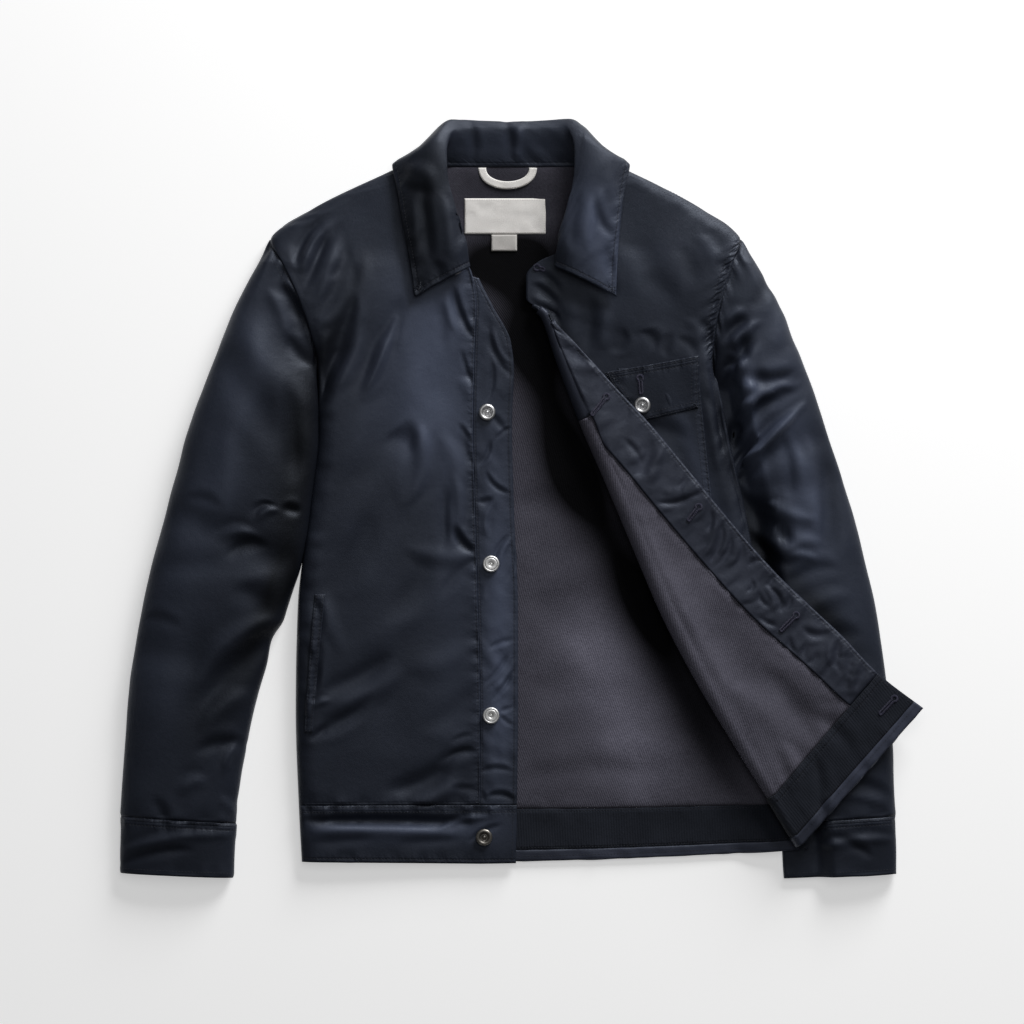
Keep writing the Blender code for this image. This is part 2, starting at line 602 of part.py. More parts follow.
def make_right_front():
    """Right front with its placket, waistband and welt pocket."""
    seam = 0.08
    rows = np.concatenate([span(seam + 0.0002, 0.66, 13), span(0.69, 0.985, 11)])
    across = np.array([0, 0.006, 0.03, 0.07, 0.12, 0.22, 0.36, 0.52, 0.68, 0.84, 0.998])
    cloth("right_front", right_front, rows, across, SHELL, "waxed_cotton", -1)
    placket_rows = np.concatenate([span(seam + 0.0002, 0.66, 13), span(0.69, 0.82, 5)])
    cloth("right_placket", right_front, placket_rows, span(1.01, 2, 4), SHELL, "waxed_cotton", -1)
    band_across = np.concatenate([across[:-1], [1.0, 1.5, 2.0]])
    cloth("right_waistband", right_front, span(0, seam - 0.0002, 4), band_across, SHELL, "waxed_cotton", -1)
    top_t, bottom_t = 0.35, 0.175
    t, share = np.meshgrid(span(bottom_t, top_t, 6), span(0, 1, 3), indexing="ij")
    slant = (t - bottom_t) / (top_t - bottom_t)
    start = 0.05 + 0.045 * slant
    welt = start + (0.045 + 0.012 * slant) * share
    cloth("right_welt_pocket", right_front, t, welt, SHELL, "waxed_cotton", -1, SHELL + LAYER_GAP)


def make_left_front():
    """Left front: lower layer, roll and turned-back part, with what is sewn to it."""
    above = np.array([ROLL_START, 0.34, 0.37, 0.4, 0.437, FACING_SPLIT])
    below = span(FACING_SPLIT, BAND_START - 1.5 * HALF_SEAM, 12)[1:]
    rows = np.concatenate([span(0.015, 0.29, 9), above, below])
    lower = np.array([0, 0.008, 0.04, 0.09, 0.16, 0.3, 0.46, 0.64, 0.82, 1.0])
    roll = span(1.2, 2.0, 5)
    flap = np.array([2.08, 2.25, 2.45, 2.65, 2.85, 3.0])
    across = np.concatenate([lower, roll, flap])
    t, s = np.meshgrid(rows, across, indexing="ij")
    keep = (t >= ROLL_START - 1e-6) | (s <= 1)
    cloth("left_front", left_front, t, s, SHELL, "waxed_cotton", -1, keep=keep)
    facing_band = np.array([BAND_START + HALF_SEAM, 0.96, 0.975, TURN_IN_START - 2 * HALF_SEAM])
    band_rows = np.concatenate([facing_band[:-1], [TURN_IN_START, 1]])
    band_lower = np.array([0, 0.008, 0.04, 0.09, 0.16, 0.3, 0.5, 0.82, 1.0])
    band_across = np.concatenate([band_lower, roll, flap])
    cloth("left_waistband", left_front, band_rows, band_across, SHELL, "waxed_cotton", -1)

    behind = -(SHELL + FLAP_GAP)
    inside = np.concatenate([[0.82, 1.0], roll])
    on_flap = span(0, 1, 5)
    facing_rows = np.concatenate([above[1:], below])
    t, column = np.meshgrid(facing_rows, np.arange(len(inside) + 4), indexing="ij")
    seam = np.maximum(2, share_from_edge(t, read(FACING, "width", t)))
    past_roll = np.clip(column - len(inside) + 1, 0, 4)
    s = np.where(past_roll > 0, 0, inside[np.minimum(column, len(inside) - 1)])
    s = np.where(column >= len(inside) - 1, seam + (3 - seam) * on_flap[past_roll], s)
    keep = (t <= FACING_SPLIT + HALF_SEAM) | (column >= len(inside) - 1)
    cloth("left_facing", left_front, t, s, LINING, "waxed_cotton", -1, behind, keep)

    lining_rows = np.concatenate([[FACING_SPLIT + 2 * HALF_SEAM], below])
    t, column = np.meshgrid(lining_rows, np.arange(len(inside) + 4), indexing="ij")
    seam = share_from_edge(t, read(FACING, "width", t) + SEAM_GAP)
    s = inside[np.minimum(column, len(inside) - 1)]
    s = s + (seam - 2) * np.clip(column - len(inside) + 1, 0, 4) / 4
    cloth("left_lining", left_front, t, s, LINING, "lining", -1, behind)

    inner = np.concatenate([[0.82, 1.0], roll, flap])
    cloth("left_hem_facing", left_front, facing_band, inner, CORDUROY, "corduroy", -1, behind)
    turn_rows = np.array([TURN_IN_START, 1])
    cloth("left_hem_turn_in", left_front, turn_rows, inner, SHELL, "waxed_cotton", -1, behind)


def make_chest_pocket():
    """Patch pocket and its flap on the left front's lower layer."""
    t, s = pocket_grid((98, 130), (178, 130), (195, -30), (148, -34), 7, 5)
    cloth("chest_pocket", left_front, t, s, SHELL, "waxed_cotton", -1, POCKET_OUT)
    t, s = pocket_grid((85, 126), (178, 142), (179, 90), (118, 76), 5, 6)
    cloth("chest_pocket_flap", left_front, t, s, SHELL, "waxed_cotton", -1, 2 * POCKET_OUT)


def pocket_grid(top_inner, top_outer, bottom_outer, bottom_inner, rows, columns):
    """t and s on the left front's lower layer of a four-cornered patch given by its plan corners."""
    down, over = np.meshgrid(span(0, 1, rows), span(0, 1, columns), indexing="ij")
    corners = np.array([top_inner, top_outer, bottom_outer, bottom_inner], float)
    inner = mix(corners[0], corners[3], down)
    outer = mix(corners[1], corners[2], down)
    wanted = mix(outer, inner, over)
    t, s = np.full_like(down, 0.4), np.full_like(down, 0.5)
    step = 1e-4
    for _ in range(30):
        here = left_front(t, s)[..., :2]
        by_t = (left_front(t + step, s)[..., :2] - here) / step
        by_s = (left_front(t, s + step)[..., :2] - here) / step
        miss = wanted - here
        det = by_t[..., 0] * by_s[..., 1] - by_t[..., 1] * by_s[..., 0]
        t = t + 0.7 * (miss[..., 0] * by_s[..., 1] - miss[..., 1] * by_s[..., 0]) / det
        s = s + 0.7 * (by_t[..., 0] * miss[..., 1] - by_t[..., 1] * miss[..., 0]) / det
        t, s = np.clip(t, 0.02, 0.9), np.clip(s, 0.02, 0.98)
    return t, s


def make_sleeve(side, surface):
    """Top sleeve, under sleeve and the two halves of the cuff."""
    wrist = 1.0
    sign = 1 if side == "left" else -1
    rows = np.concatenate([span(0.0, 0.14, 4), span(0.21, wrist - 0.0003, 13)])
    edge = np.array([-0.12, -0.06, 0, 0.06, 0.12])
    crown = span(0.2, 0.8, 6)
    top = np.concatenate([[-UNDER_SEAM], edge, crown, 1 - edge[::-1], [1 + UNDER_SEAM]])
    under = span(1 + UNDER_SEAM + UNDER_GAP, 2 - UNDER_SEAM - UNDER_GAP, 6)
    cloth(side + "_top_sleeve", surface, rows, top, SHELL, "waxed_cotton", sign)
    cloth(side + "_under_sleeve", surface, rows, under, SHELL, "waxed_cotton", sign)
    cuff = span(wrist + 0.0003, 1.12, 4)
    cloth(side + "_cuff_top", surface, cuff, top, SHELL, "waxed_cotton", sign)
    cloth(side + "_cuff_under", surface, cuff, under, SHELL, "waxed_cotton", sign)


def make_collar():
    """Stand and fall, rolled over at the top of the stand."""
    across = np.array([0, 0.17, 0.28, 0.36, 0.41, 0.46, 0.58, 0.72, 0.86, 1.0])
    cloth("collar", collar, span(0, 1, 31), across, COLLAR, "waxed_cotton", 1)


def lining_top():
    """Height of the back lining's upper face where it lies flat."""
    return SHELL + LAYER_GAP + LINING


def make_label():
    """Woven label and size tab, bare, flat on the back lining; the hanger loop above them."""
    base = lining_top() + LAYER_GAP
    add_plate("label", (-56, 26), (265, 301), base, TAPE)
    add_plate("size_tab", (-29, -3), (248, 264.6), base, TAPE)
    middle, reach, drop, top = -12.5, 25.5, 19.0, 333.0
    angle = span(0, math.pi, 15)
    path = np.stack([middle - reach * np.cos(angle), top - drop * np.sin(angle) ** 0.8], -1)
    along = np.gradient(path, axis=0)
    along /= np.linalg.norm(along, axis=-1, keepdims=True)
    side = np.stack([-along[:, 1], along[:, 0]], -1)
    half_width = 4.0
    raised = base + 1.2 * np.sin(angle)
    left = np.concatenate([path + side * half_width, (raised + TAPE)[:, None]], -1)
    right = np.concatenate([path - side * half_width, (raised + TAPE)[:, None]], -1)
    sheet("hanger_loop", np.stack([left, right], 1), TAPE, "tape")


def add_plate(name, across, up, bottom, thickness):
    """A flat four-cornered piece of tape."""
    columns, rows = span(*across, 4), span(*up, 3)
    y, x = np.meshgrid(rows, columns, indexing="ij")
    points = np.stack([x, y, np.full_like(x, bottom + thickness)], -1)
    sheet(name, points, thickness, "tape")


BUTTON_PROFILE = (
    (0.0, 0.55), (0.16, 0.55), (0.22, 0.40), (0.42, 0.40), (0.62, 0.90), (0.80, 1.0), (0.95, 0.85),
    (1.0, 0.60), (0.93, 0.40), (0.45, 0.30), (0.40, 0.0), (0.0, 0.0),
)


def make_button(name, place, normal):
    """A shank button: a raised round rim, a dished middle with a nub, turned about its own axis."""
    mesh = bpy.data.meshes.new(name)
    points = [(r * BUTTON_RADIUS * MM, 0, h * BUTTON_HEIGHT * MM) for r, h in BUTTON_PROFILE]
    mesh.from_pydata(points, [(i, i + 1) for i in range(len(points) - 1)], [])
    obj = add_object(name, mesh, "metal")
    turn = obj.modifiers.new("turn", "SCREW")
    turn.steps = turn.render_steps = 14
    turn.use_merge_vertices = True
    turn.merge_threshold = 0.00001
    turn.use_normal_calculate = False
    obj.location = (place + normal * LAYER_GAP) * MM
    tilt = math.acos(normal[2])
    obj.rotation_euler = (0, tilt, math.atan2(normal[1], normal[0]))


def find_on(surface, x, y, t, s):
    """The t and s of a surface's point over a plan point, by Newton steps from a first guess."""
    t, s, step = np.array([t], float), np.array([s], float), 1e-4
    for _ in range(40):
        here = surface(t, s)[..., :2]
        by_t = (surface(t + step, s)[..., :2] - here) / step
        by_s = (surface(t, s + step)[..., :2] - here) / step
        miss = np.array([[x, y]]) - here
        det = by_t[..., 0] * by_s[..., 1] - by_t[..., 1] * by_s[..., 0]
        t = t + 0.6 * (miss[..., 0] * by_s[..., 1] - miss[..., 1] * by_s[..., 0]) / det
        s = s + 0.6 * (by_t[..., 0] * miss[..., 1] - by_t[..., 1] * miss[..., 0]) / det
    return t, s


def make_buttons():
    """Five buttons down the right front and one on the chest pocket."""
    places = table(
        "x y t s",
        (-65, 231.5, 0.84, 0.9),
        (-33, 86, 0.6, 1.4),
        (-29, -66, 0.4, 1.4),
        (-29, -218, 0.2, 1.4),
        (-36, -340, 0.04, 1.2),
    )
    for number, (x, y, t, s) in enumerate(np.stack(list(places.values()), 1), 1):
        t, s = find_on(right_front, x, y, t, s)
        place = right_front(t, s)[0]
        make_button(f"button_{number}", place, outward(right_front, t, s, -1)[0])
    t, s = find_on(left_front, 123, 93, 0.4, 0.6)
    normal = outward(left_front, t, s, -1)[0]
    place = left_front(t, s)[0] + normal * 2 * POCKET_OUT
    make_button("pocket_button", place, normal)


def main():
    for obj in list(bpy.data.objects):
        bpy.data.objects.remove(obj, do_unlink=True)
    bpy.context.scene.collection.children.link(collection)
    make_back()
    make_right_front()
    make_left_front()
    make_chest_pocket()
    make_sleeve("right", right_sleeve)
    make_sleeve("left", left_sleeve)
    make_collar()
    make_label()
    make_buttons()


main()
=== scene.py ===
"""The finish of a waxed cotton jacket laid flat, its left front turned back over the left sleeve.

Lengths in the tables are millimetres, x towards the wearer's left, y towards the collar, z up; MM
turns them to metres. Every piece of cloth is a surface: a function of t, along the piece, and s,
across it. `dress` reads that surface on a fine grid, moves each point along the surface's normal by
the piece's own relief, and gives the sheet its wall. Relief is the sum of listed creases, puckers
along the sewn lines and a soft unevenness.
"""

import math

import bpy
import numpy as np
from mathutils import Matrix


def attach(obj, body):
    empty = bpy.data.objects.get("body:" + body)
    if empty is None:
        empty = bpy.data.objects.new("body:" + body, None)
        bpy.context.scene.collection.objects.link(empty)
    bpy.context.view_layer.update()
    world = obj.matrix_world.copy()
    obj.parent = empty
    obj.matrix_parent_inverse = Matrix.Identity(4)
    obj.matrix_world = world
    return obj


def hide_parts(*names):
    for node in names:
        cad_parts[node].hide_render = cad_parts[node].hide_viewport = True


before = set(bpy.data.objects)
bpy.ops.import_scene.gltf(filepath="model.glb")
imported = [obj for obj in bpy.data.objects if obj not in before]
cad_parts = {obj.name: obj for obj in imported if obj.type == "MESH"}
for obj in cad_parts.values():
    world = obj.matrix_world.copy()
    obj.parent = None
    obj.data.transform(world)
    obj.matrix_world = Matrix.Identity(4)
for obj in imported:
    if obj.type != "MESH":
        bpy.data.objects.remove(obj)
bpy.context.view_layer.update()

MM = 0.001

# Cloth thicknesses and the gaps between layers
SHELL = 1.6
LINING = 1.2
CORDUROY = 1.6
COLLAR = 2.2
TAPE = 1.4
SEAM_GAP = 0.3
LAYER_GAP = 0.4
FLAP_GAP = 0.8
# A sleeve's head is moved this far towards the body at the armhole
ARMHOLE_GAP = -0.9
# How far a sleeve's lower end goes under the body at the armpit
ARMPIT_TUCK = 1.3
# How far the chest pocket's outer face stands out from the front's; its flap stands twice as far
POCKET_OUT = SHELL + 0.7

# How much deeper all relief stands than its own tables say
RELIEF = 1.7
# Past this width, in metres, a sheet's measured area is held to its width times its length
NARROWEST_SHEET = 0.01


def table(names, *rows):
    """A table of named columns: a dict of arrays, one value for each row."""
    return dict(zip(names.split(), np.array(rows, float).T))


# Widths sewn into the jacket
HEM_TURN_IN = 12.0
BUTTON_RADIUS = 8.4
BUTTON_HEIGHT = 4.2

# How far the top sleeve wraps below, as a share of half the ring
UNDER_SEAM = 0.26

# Shares of the left front's length, from the neck to the hem
FIRST_ROLL = 0.27
ROLL_START = 0.32
FACING_SPLIT = 0.474
BAND_START = 0.945
TURN_IN_START = 0.989
HALF_SEAM = 0.00015

# The collar is worked out for the right half and mirrored about its own middle
COLLAR_MIDDLE = -9.0
NECK_HALF = 82.0
NECK_CURVE = 24.0
NECK_RISE = 6.5

# Shares of the collar's way from the neck seam to its edge, for each point of COLLAR_HALF's rows,
# and how much further out its left end lies
COLLAR_STEPS = np.array([0.0, 0.17, 0.36, 0.46, 0.72, 1.0])
LEFT_TIP_SPREAD = 9.0

# Share of a sleeve's length over which its head follows the armhole, the height of the ring's widest
# part as a share of its crown, and the share of the back's length at which the neck's curve starts
HEAD_RUN = 0.12
SLEEVE_WIDEST = 0.30
NECK_ROWS = 0.95

# The width over which a front turns up round its side
SIDE_ROUND = 20.0

# How far the middle of the back's hem lies below its corners
HEM_SAG = 6.0

# Where the body lies on the left sleeve, the sleeve is pressed flat and the body is lifted over it
PRESS_MARGIN = 8.0
PRESSED_ROUND = 3.2
PRESS_RISE = 20.0
BODY_LIFT = 6.8
LIFT_RUN = 45.0
ARMPIT_RUN = 30.0

# Right front, from the hem to the neck. side_* is its side seam, armhole and shoulder seam, seam_*
# the placket seam and neckline, edge_* the front edge. crown is its height just inside the side.
RIGHT_FRONT = table(
    "t side_x side_y side_z crown seam_x seam_y seam_z edge_x edge_y edge_z",
    (0.00, -219, -365, 7.0, 13, -40, -367, 8.5, -4, -366.5, 7.5),
    (0.08, -222, -308, 7.2, 16, -40, -308, 9.5, -3, -308, 8.5),
    (0.20, -225, -215, 8.6, 19, -40, -215, 10, -2, -215, 8.5),
    (0.33, -223, -112, 9.8, 21, -42, -112, 10, -2, -112, 8.5),
    (0.46, -210.5, -8, 10.8, 22, -45, -12, 10, -6, -12, 8.5),
    (0.57, -202.5, 72, 11.3, 23, -47, 72, 11, -8, 72, 9),
    (0.66, -203.5, 134, 12, 24, -46, 130, 12, -6, 128, 10),
    (0.71, -209.5, 163, 20, 25, -45, 160, 13, -9, 156, 11),
    (0.77, -221.8, 200.5, 24, 26, -44, 194, 14, -27, 192, 13),
    (0.82, -238.5, 236, 22, 24.5, -48, 222, 15, -41, 220, 14),
    (0.86, -250, 258, 12, 20, -57, 246, 14, -50, 244, 13.5),
    (0.91, -209.6, 289.2, 8.5, 16, -70, 276, 13, -65, 275, 12.8),
    (0.96, -145.6, 320.8, 8.5, 14, -80, 306, 12, -76, 305, 11.8),
    (1.00, -114, 334.5, 8.5, 11.5, -84, 326, 10, -81, 326, 10),
)

# Left front, from the neck to the hem. outer_* is its shoulder seam, armhole and side seam, crease_*
# the neckline and the outermost line of the roll, cf_* the front edge once turned back. roll is the
# roll's inner radius.
LEFT_FRONT = table(
    "t outer_x outer_y outer_z crown crease_x crease_y crease_z roll cf_x cf_y cf_z",
    (0.00, 93, 334.5, 8.5, 11.5, 66, 326, 10, 3.5, 66, 326, 14),
    (0.05, 123.6, 320.8, 8.5, 14, 60, 303, 12, 3.5, 60, 303, 16),
    (0.10, 183.6, 289.2, 8.5, 16, 51, 271, 13, 3.5, 51, 271, 18),
    (0.14, 221, 258, 12, 20, 38, 247, 13, 3.5, 38, 247, 18),
    (0.18, 213, 235.5, 21.5, 23, 17, 236, 12, 3.5, 17, 236, 18),
    (0.22, 201.7, 199.7, 24, 24, 6, 222, 11, 3.5, 6, 222, 18),
    (0.27, 195.1, 162.5, 20, 23, 6, 201, 10.5, 3.5, 10, 201, 18),
    (0.32, 193, 134, 12, 22, 21, 179, 10, 3.8, 33, 177, 18.5),
    (0.40, 201, 102, 13.7, 20, 35, 138, 9.5, 5.6, 52, 158, 20.5),
    (0.48, 213, 42, 13.9, 18, 60, 72, 9, 7.6, 91, 115, 22),
    (0.56, 228, -25, 12.9, 18.5, 86, 12, 9, 8.6, 131, 72, 23),
    (0.64, 239, -85, 12.8, 19.5, 112, -50, 9, 8.8, 169, 26, 24),
    (0.73, 252, -157, 12.7, 19.5, 142, -120, 9.8, 8.6, 212, -26, 25.5),
    (0.82, 264, -222, 12.4, 19, 176, -185, 11.6, 8.0, 257, -77, 27),
    (0.91, 276, -290, 12.4, 18, 226, -268, 14.0, 6.4, 321, -138, 27.5),
    (0.945, 281, -314, 12.5, 17.2, 246.5, -300.5, 14.6, 5.5, 356.5, -175, 27),
    (1.00, 289, -352, 12.6, 16, 275.5, -349.5, 15.2, 3.6, 402, -209.5, 26),
)

# The facing's width down the left front, measured from the front edge straight across
FACING = table(
    "t width",
    (0.32, 39),
    (0.474, 39),
    (0.52, 50.5),
    (0.60, 51),
    (0.75, 49),
    (0.90, 46.5),
    (0.945, 42),
)

# Back, from the hem to the neck. left_* and right_* are its silhouette on each side; *_mid is
# the height of its side seam there, or half the shoulder's; curl the width over which it turns up, end
# the angle that it turns through, in quarters of a circle; under the sleeve's reach below it.
BACK = table(
    "t left_x left_y right_x right_y left_mid right_mid curl end under",
    (0.00, -218.5, -364, 289, -352, 5.5, 3.4, 10, 0, 25),
    (0.08, -222, -308, 280, -306, 6, 3.7, 11, 0, 26),
    (0.22, -225, -202, 260.5, -202, 7.5, 4.2, 12, 0, 27),
    (0.34, -222.8, -106, 242.5, -106, 8.5, 4.6, 12, 0, 40),
    (0.41, -216.5, -51, 233, -51, 9, 4.6, 12, 0, 44),
    (0.48, -209.6, 0, 223, 0, 9.5, 4.5, 12, 0, 38),
    (0.56, -202.8, 62, 209, 62, 9.5, 5.2, 12, 0, 24),
    (0.62, -202.9, 112, 199, 112, 8, 5.4, 12, 0, 10),
    (0.66, -203.5, 136, 193.5, 136, 1.5, 1.5, 10, 0, 0),
    (0.71, -209.5, 163, 195.1, 162.5, 0, 0, 8, 0, 0),
    (0.77, -221.8, 200.5, 201.7, 199.7, 0, 0, 8, -0.4, 0),
    (0.82, -238.5, 236, 213, 235.5, 0, 0, 8, -0.8, 0),
    (0.835, -243, 244, 216.5, 244, 4, 4, 9, -0.85, 0),
    (0.86, -251, 258, 222, 258, 4.6, 4.6, 13, 0, 0),
    (0.885, -238, 273, 210, 273, 5.4, 5.4, 18, 0.9, 0),
    (0.91, -218, 285, 191, 285, 5.5, 5.5, 17.5, 1, 0),
    (0.94, -190, 299, 166, 299, 5.5, 5.5, 18.2, 1, 0),
    (0.96, -162, 313, 141, 313, 5.4, 5.4, 18.4, 1, 0),
    (1.00, -129, 329, 108, 329, 5.2, 5.2, 19, 1, 0),
)

# Sleeves, from the armhole to the wrist. out_* is the outer edge, in_* the inner edge, high the
# height of the crown, bow how far the ring bends towards the body.
SLEEVE_COLUMNS = "t out_x out_y in_x in_y high bow"
RIGHT_SLEEVE = table(
    SLEEVE_COLUMNS,
    (0.00, -252.5, 259, -204, 137, 24, 7),
    (0.07, -266, 230, -203, 118, 28, 6),
    (0.14, -282, 198, -202.4, 96, 31, 3),
    (0.25, -306, 140, -202.6, 60, 34, 0),
    (0.36, -325, 90, -205, 20, 35, 0),
    (0.47, -342, 36, -209.6, -16, 34, 0),
    (0.58, -357, -16, -218.2, -62, 33, 0),
    (0.68, -370, -66, -231.5, -106, 32, 0),
    (0.77, -382, -124, -250, -159, 30, 0),
    (0.85, -390, -180, -264, -203, 28, 0),
    (0.93, -397, -250, -277, -264, 25, 0),
    (1.00, -400.5, -319, -285, -326, 22, 0),
    (1.12, -401, -376, -288, -381, 19, 0),
)
LEFT_SLEEVE = table(
    SLEEVE_COLUMNS,
    (0.00, 223.5, 259, 190.5, 137, 24, 7),
    (0.07, 236, 236, 191.6, 118, 27, 6),
    (0.14, 252, 208, 194.6, 92, 29, 4),
    (0.25, 279, 148, 195, 60, 30, 0),
    (0.36, 299, 96, 193, 20, 28, 0),
    (0.47, 316, 42, 193, -18, 26, 0),
    (0.58, 332, -12, 195, -60, 24.5, 0),
    (0.68, 346, -66, 208, -106, 23.5, 0),
    (0.77, 359, -124, 226, -155, 23, 0),
    (0.85, 367, -180, 239, -200, 22.5, 0),
    (0.93, 374, -250, 252, -262, 21, 0),
    (1.00, 377, -319, 261, -326, 19.5, 0),
    (1.12, 378, -377, 265, -382, 17.5, 0),
)

# Half of the collar, from its front end to the middle of the back: the neck seam, the middle of the
# stand, the inner side of the fold, its top, the middle of the fall and the collar's edge.
COLLAR_HALF = (
    (
        (-60, 243, 16), (-55.5, 238, 19.5), (-50, 231, 23.5),
        (-57, 227, 28.5), (-79, 216, 27.5), (-105, 201, 25),
    ),
    (
        (-65, 258, 16), (-60, 258, 21), (-54, 256, 27),
        (-62, 252, 32), (-86, 244, 30.5), (-110, 234, 26),
    ),
    (
        (-76, 287, 16), (-71, 290, 24), (-65, 292, 30),
        (-73, 290, 33), (-95, 283, 32), (-117, 272, 25),
    ),
    (
        (-82, 318, 13), (-78, 321, 23), (-72, 325, 31),
        (-80, 325, 34), (-102, 316, 32), (-122, 303, 22),
    ),
    (
        (-80, 332, 9), (-77, 340, 19), (-73, 350, 28),
        (-81, 354, 31), (-105, 344, 28), (-128, 333, 17),
    ),
    (
        (-75, 335, 7.5), (-73, 348, 14), (-69, 366, 21),
        (-75, 373, 20), (-98, 356, 12), (-112, 342, 3.5),
    ),
    (
        (-64, 335, 5.3), (-63, 350, 11), (-62, 371, 16.5),
        (-66, 379, 13), (-77, 371, 3), (-88, 346, 0.4),
    ),
    (
        (-40, 335, 5.1), (-40, 350, 9.5), (-40, 371, 14),
        (-40, 377.5, 10), (-42, 373, 1.5), (-44, 346, 0.3),
    ),
    (
        (-9, 335, 5.1), (-9, 350, 9.5), (-9, 371, 14),
        (-9, 377, 10), (-9, 372, 1.5), (-9, 345, 0.3),
    ),
)

# The largest folds: a straight trough (depth below 0) or ridge between two points, on each panel.
FOLD_COLUMNS = "x0 y0 x1 y1 width depth"
SLEEVE_FOLDS = table(
    FOLD_COLUMNS,
    (-330, -20, -240, -60, 16, -3.0),
    (-345, -70, -262, -64, 14, -2.2),
    (-225, 40, -290, 130, 18, -3.0),
    (-240, 110, -285, 175, 16, 2.0),
    (-385, -150, -300, -170, 18, -1.8),
    (215, 60, 285, 120, 14, -3.2),
    (222, 40, 300, 62, 14, -2.6),
    (240, 0, 310, 20, 15, -2.0),
    (290, -170, 355, -160, 16, -1.6),
)
FRONT_FOLDS = table(
    FOLD_COLUMNS,
    (-205, 120, -150, 160, 18, -2.0),
    (-190, -60, -130, -230, 24, -1.6),
    (-120, 150, -90, 60, 24, 1.6),
    (-210, -322, -55, -324, 9, -2.0),
    (120, 250, 150, 190, 20, -1.8),
    (180, 130, 222, -20, 14, 2.0),
)
FLAP_FOLDS = table(
    FOLD_COLUMNS,
    (120, 20, 180, 10, 18, 1.4),
    (200, -60, 300, -120, 22, -1.4),
    (230, -200, 330, -170, 24, 1.5),
    (150, -60, 230, -200, 26, -1.2),
)


def smooth(share):
    """0 to 1 with flat ends."""
    share = np.clip(share, 0.0, 1.0)
    return share * share * (3 - 2 * share)


def hermite(share, step, start, start_slope, end, end_slope):
    """A cubic over one step from start to end, with the given slopes there."""
    square, cube = share**2, share**3
    return (
        (2 * cube - 3 * square + 1) * start
        + (cube - 2 * square + share) * step * start_slope
        + (3 * square - 2 * cube) * end
        + (cube - square) * step * end_slope
    )


def read(columns, name, t):
    """A column of a table at t, on a smooth curve that doesn't overshoot its rows."""
    xs, ys = columns["t"], columns[name]
    steps = np.diff(xs)
    rates = np.diff(ys) / steps
    slopes = np.zeros_like(ys)
    slopes[0], slopes[-1] = rates[0], rates[-1]
    same_way = rates[:-1] * rates[1:] > 0
    before = 2 * steps[1:] + steps[:-1]
    after = steps[1:] + 2 * steps[:-1]
    safe = np.where(same_way, rates[:-1], 1), np.where(same_way, rates[1:], 1)
    harmonic = (before + after) / (before / safe[0] + after / safe[1])
    slopes[1:-1] = np.where(same_way, harmonic, 0)
    t = np.clip(t, xs[0], xs[-1])
    row = np.clip(np.searchsorted(xs, t, side="right") - 1, 0, len(steps) - 1)
    share = (t - xs[row]) / steps[row]
    return hermite(share, steps[row], ys[row], slopes[row], ys[row + 1], slopes[row + 1])


def read_point(columns, stem, t, axes="xyz"):
    """The x, y and z columns of one named point, as points, or x and y alone."""
    return np.stack([read(columns, f"{stem}_{axis}", t) for axis in axes], -1)


def mix(start, end, share):
    """The point at a share of the way from start to end."""
    return start + (end - start) * share[..., None]


def fold_height(folds, x, y):
    """The sum of the folds at x, y: each a soft round ridge or trough that fades out at its ends."""
    height = np.zeros_like(x)
    for x0, y0, x1, y1, width, depth in np.stack(list(folds.values()), 1):
        length = math.hypot(x1 - x0, y1 - y0)
        along = ((x - x0) * (x1 - x0) + (y - y0) * (y1 - y0)) / length
        across = ((x - x0) * (y1 - y0) - (y - y0) * (x1 - x0)) / length
        past_end = np.maximum(0, np.maximum(-along, along - length))
        height += depth * np.exp(-((across / width) ** 2) - (past_end / (1.5 * width)) ** 2)
    return height


def quarter_round(distance, band):
    """0 at the edge, rising as a quarter circle to 1 at the band's far side."""
    share = np.clip(distance / band, 0, 1)
    return np.sqrt(np.clip(1 - (1 - share) ** 2, 0, 1))


def front_panel(edge, seam, crown, share):
    """Across a front: up round the side to the crown, then gently down to the far seam."""
    point = mix(edge, seam, share)
    width = np.linalg.norm((seam - edge)[..., :2], axis=-1)
    distance = share * width
    band = np.minimum(SIDE_ROUND, 0.6 * width)
    top = crown + (seam[..., 2] - crown) * smooth(share)
    point[..., 2] = edge[..., 2] + (top - edge[..., 2]) * quarter_round(distance, band)
    return point


def right_front(t, s):
    """Outer face: s runs 0 to 1 from the side to the placket seam, and 1 to 2 over the placket."""
    side = read_point(RIGHT_FRONT, "side", t)
    seam = read_point(RIGHT_FRONT, "seam", t)
    edge = read_point(RIGHT_FRONT, "edge", t)
    crown = read(RIGHT_FRONT, "crown", t)
    panel = front_panel(side, seam, crown, np.clip(s, 0, 1))
    folds = fold_height(FRONT_FOLDS, panel[..., 0], panel[..., 1])
    panel[..., 2] += folds * smooth(s / 0.15) * smooth((1 - s) / 0.1)
    placket = mix(seam, edge, s - 1)
    placket[..., 2] = seam[..., 2] + (edge - seam)[..., 2] * np.clip(s - 1, 0, 1) ** 3
    return np.where((s > 1)[..., None], placket, panel)


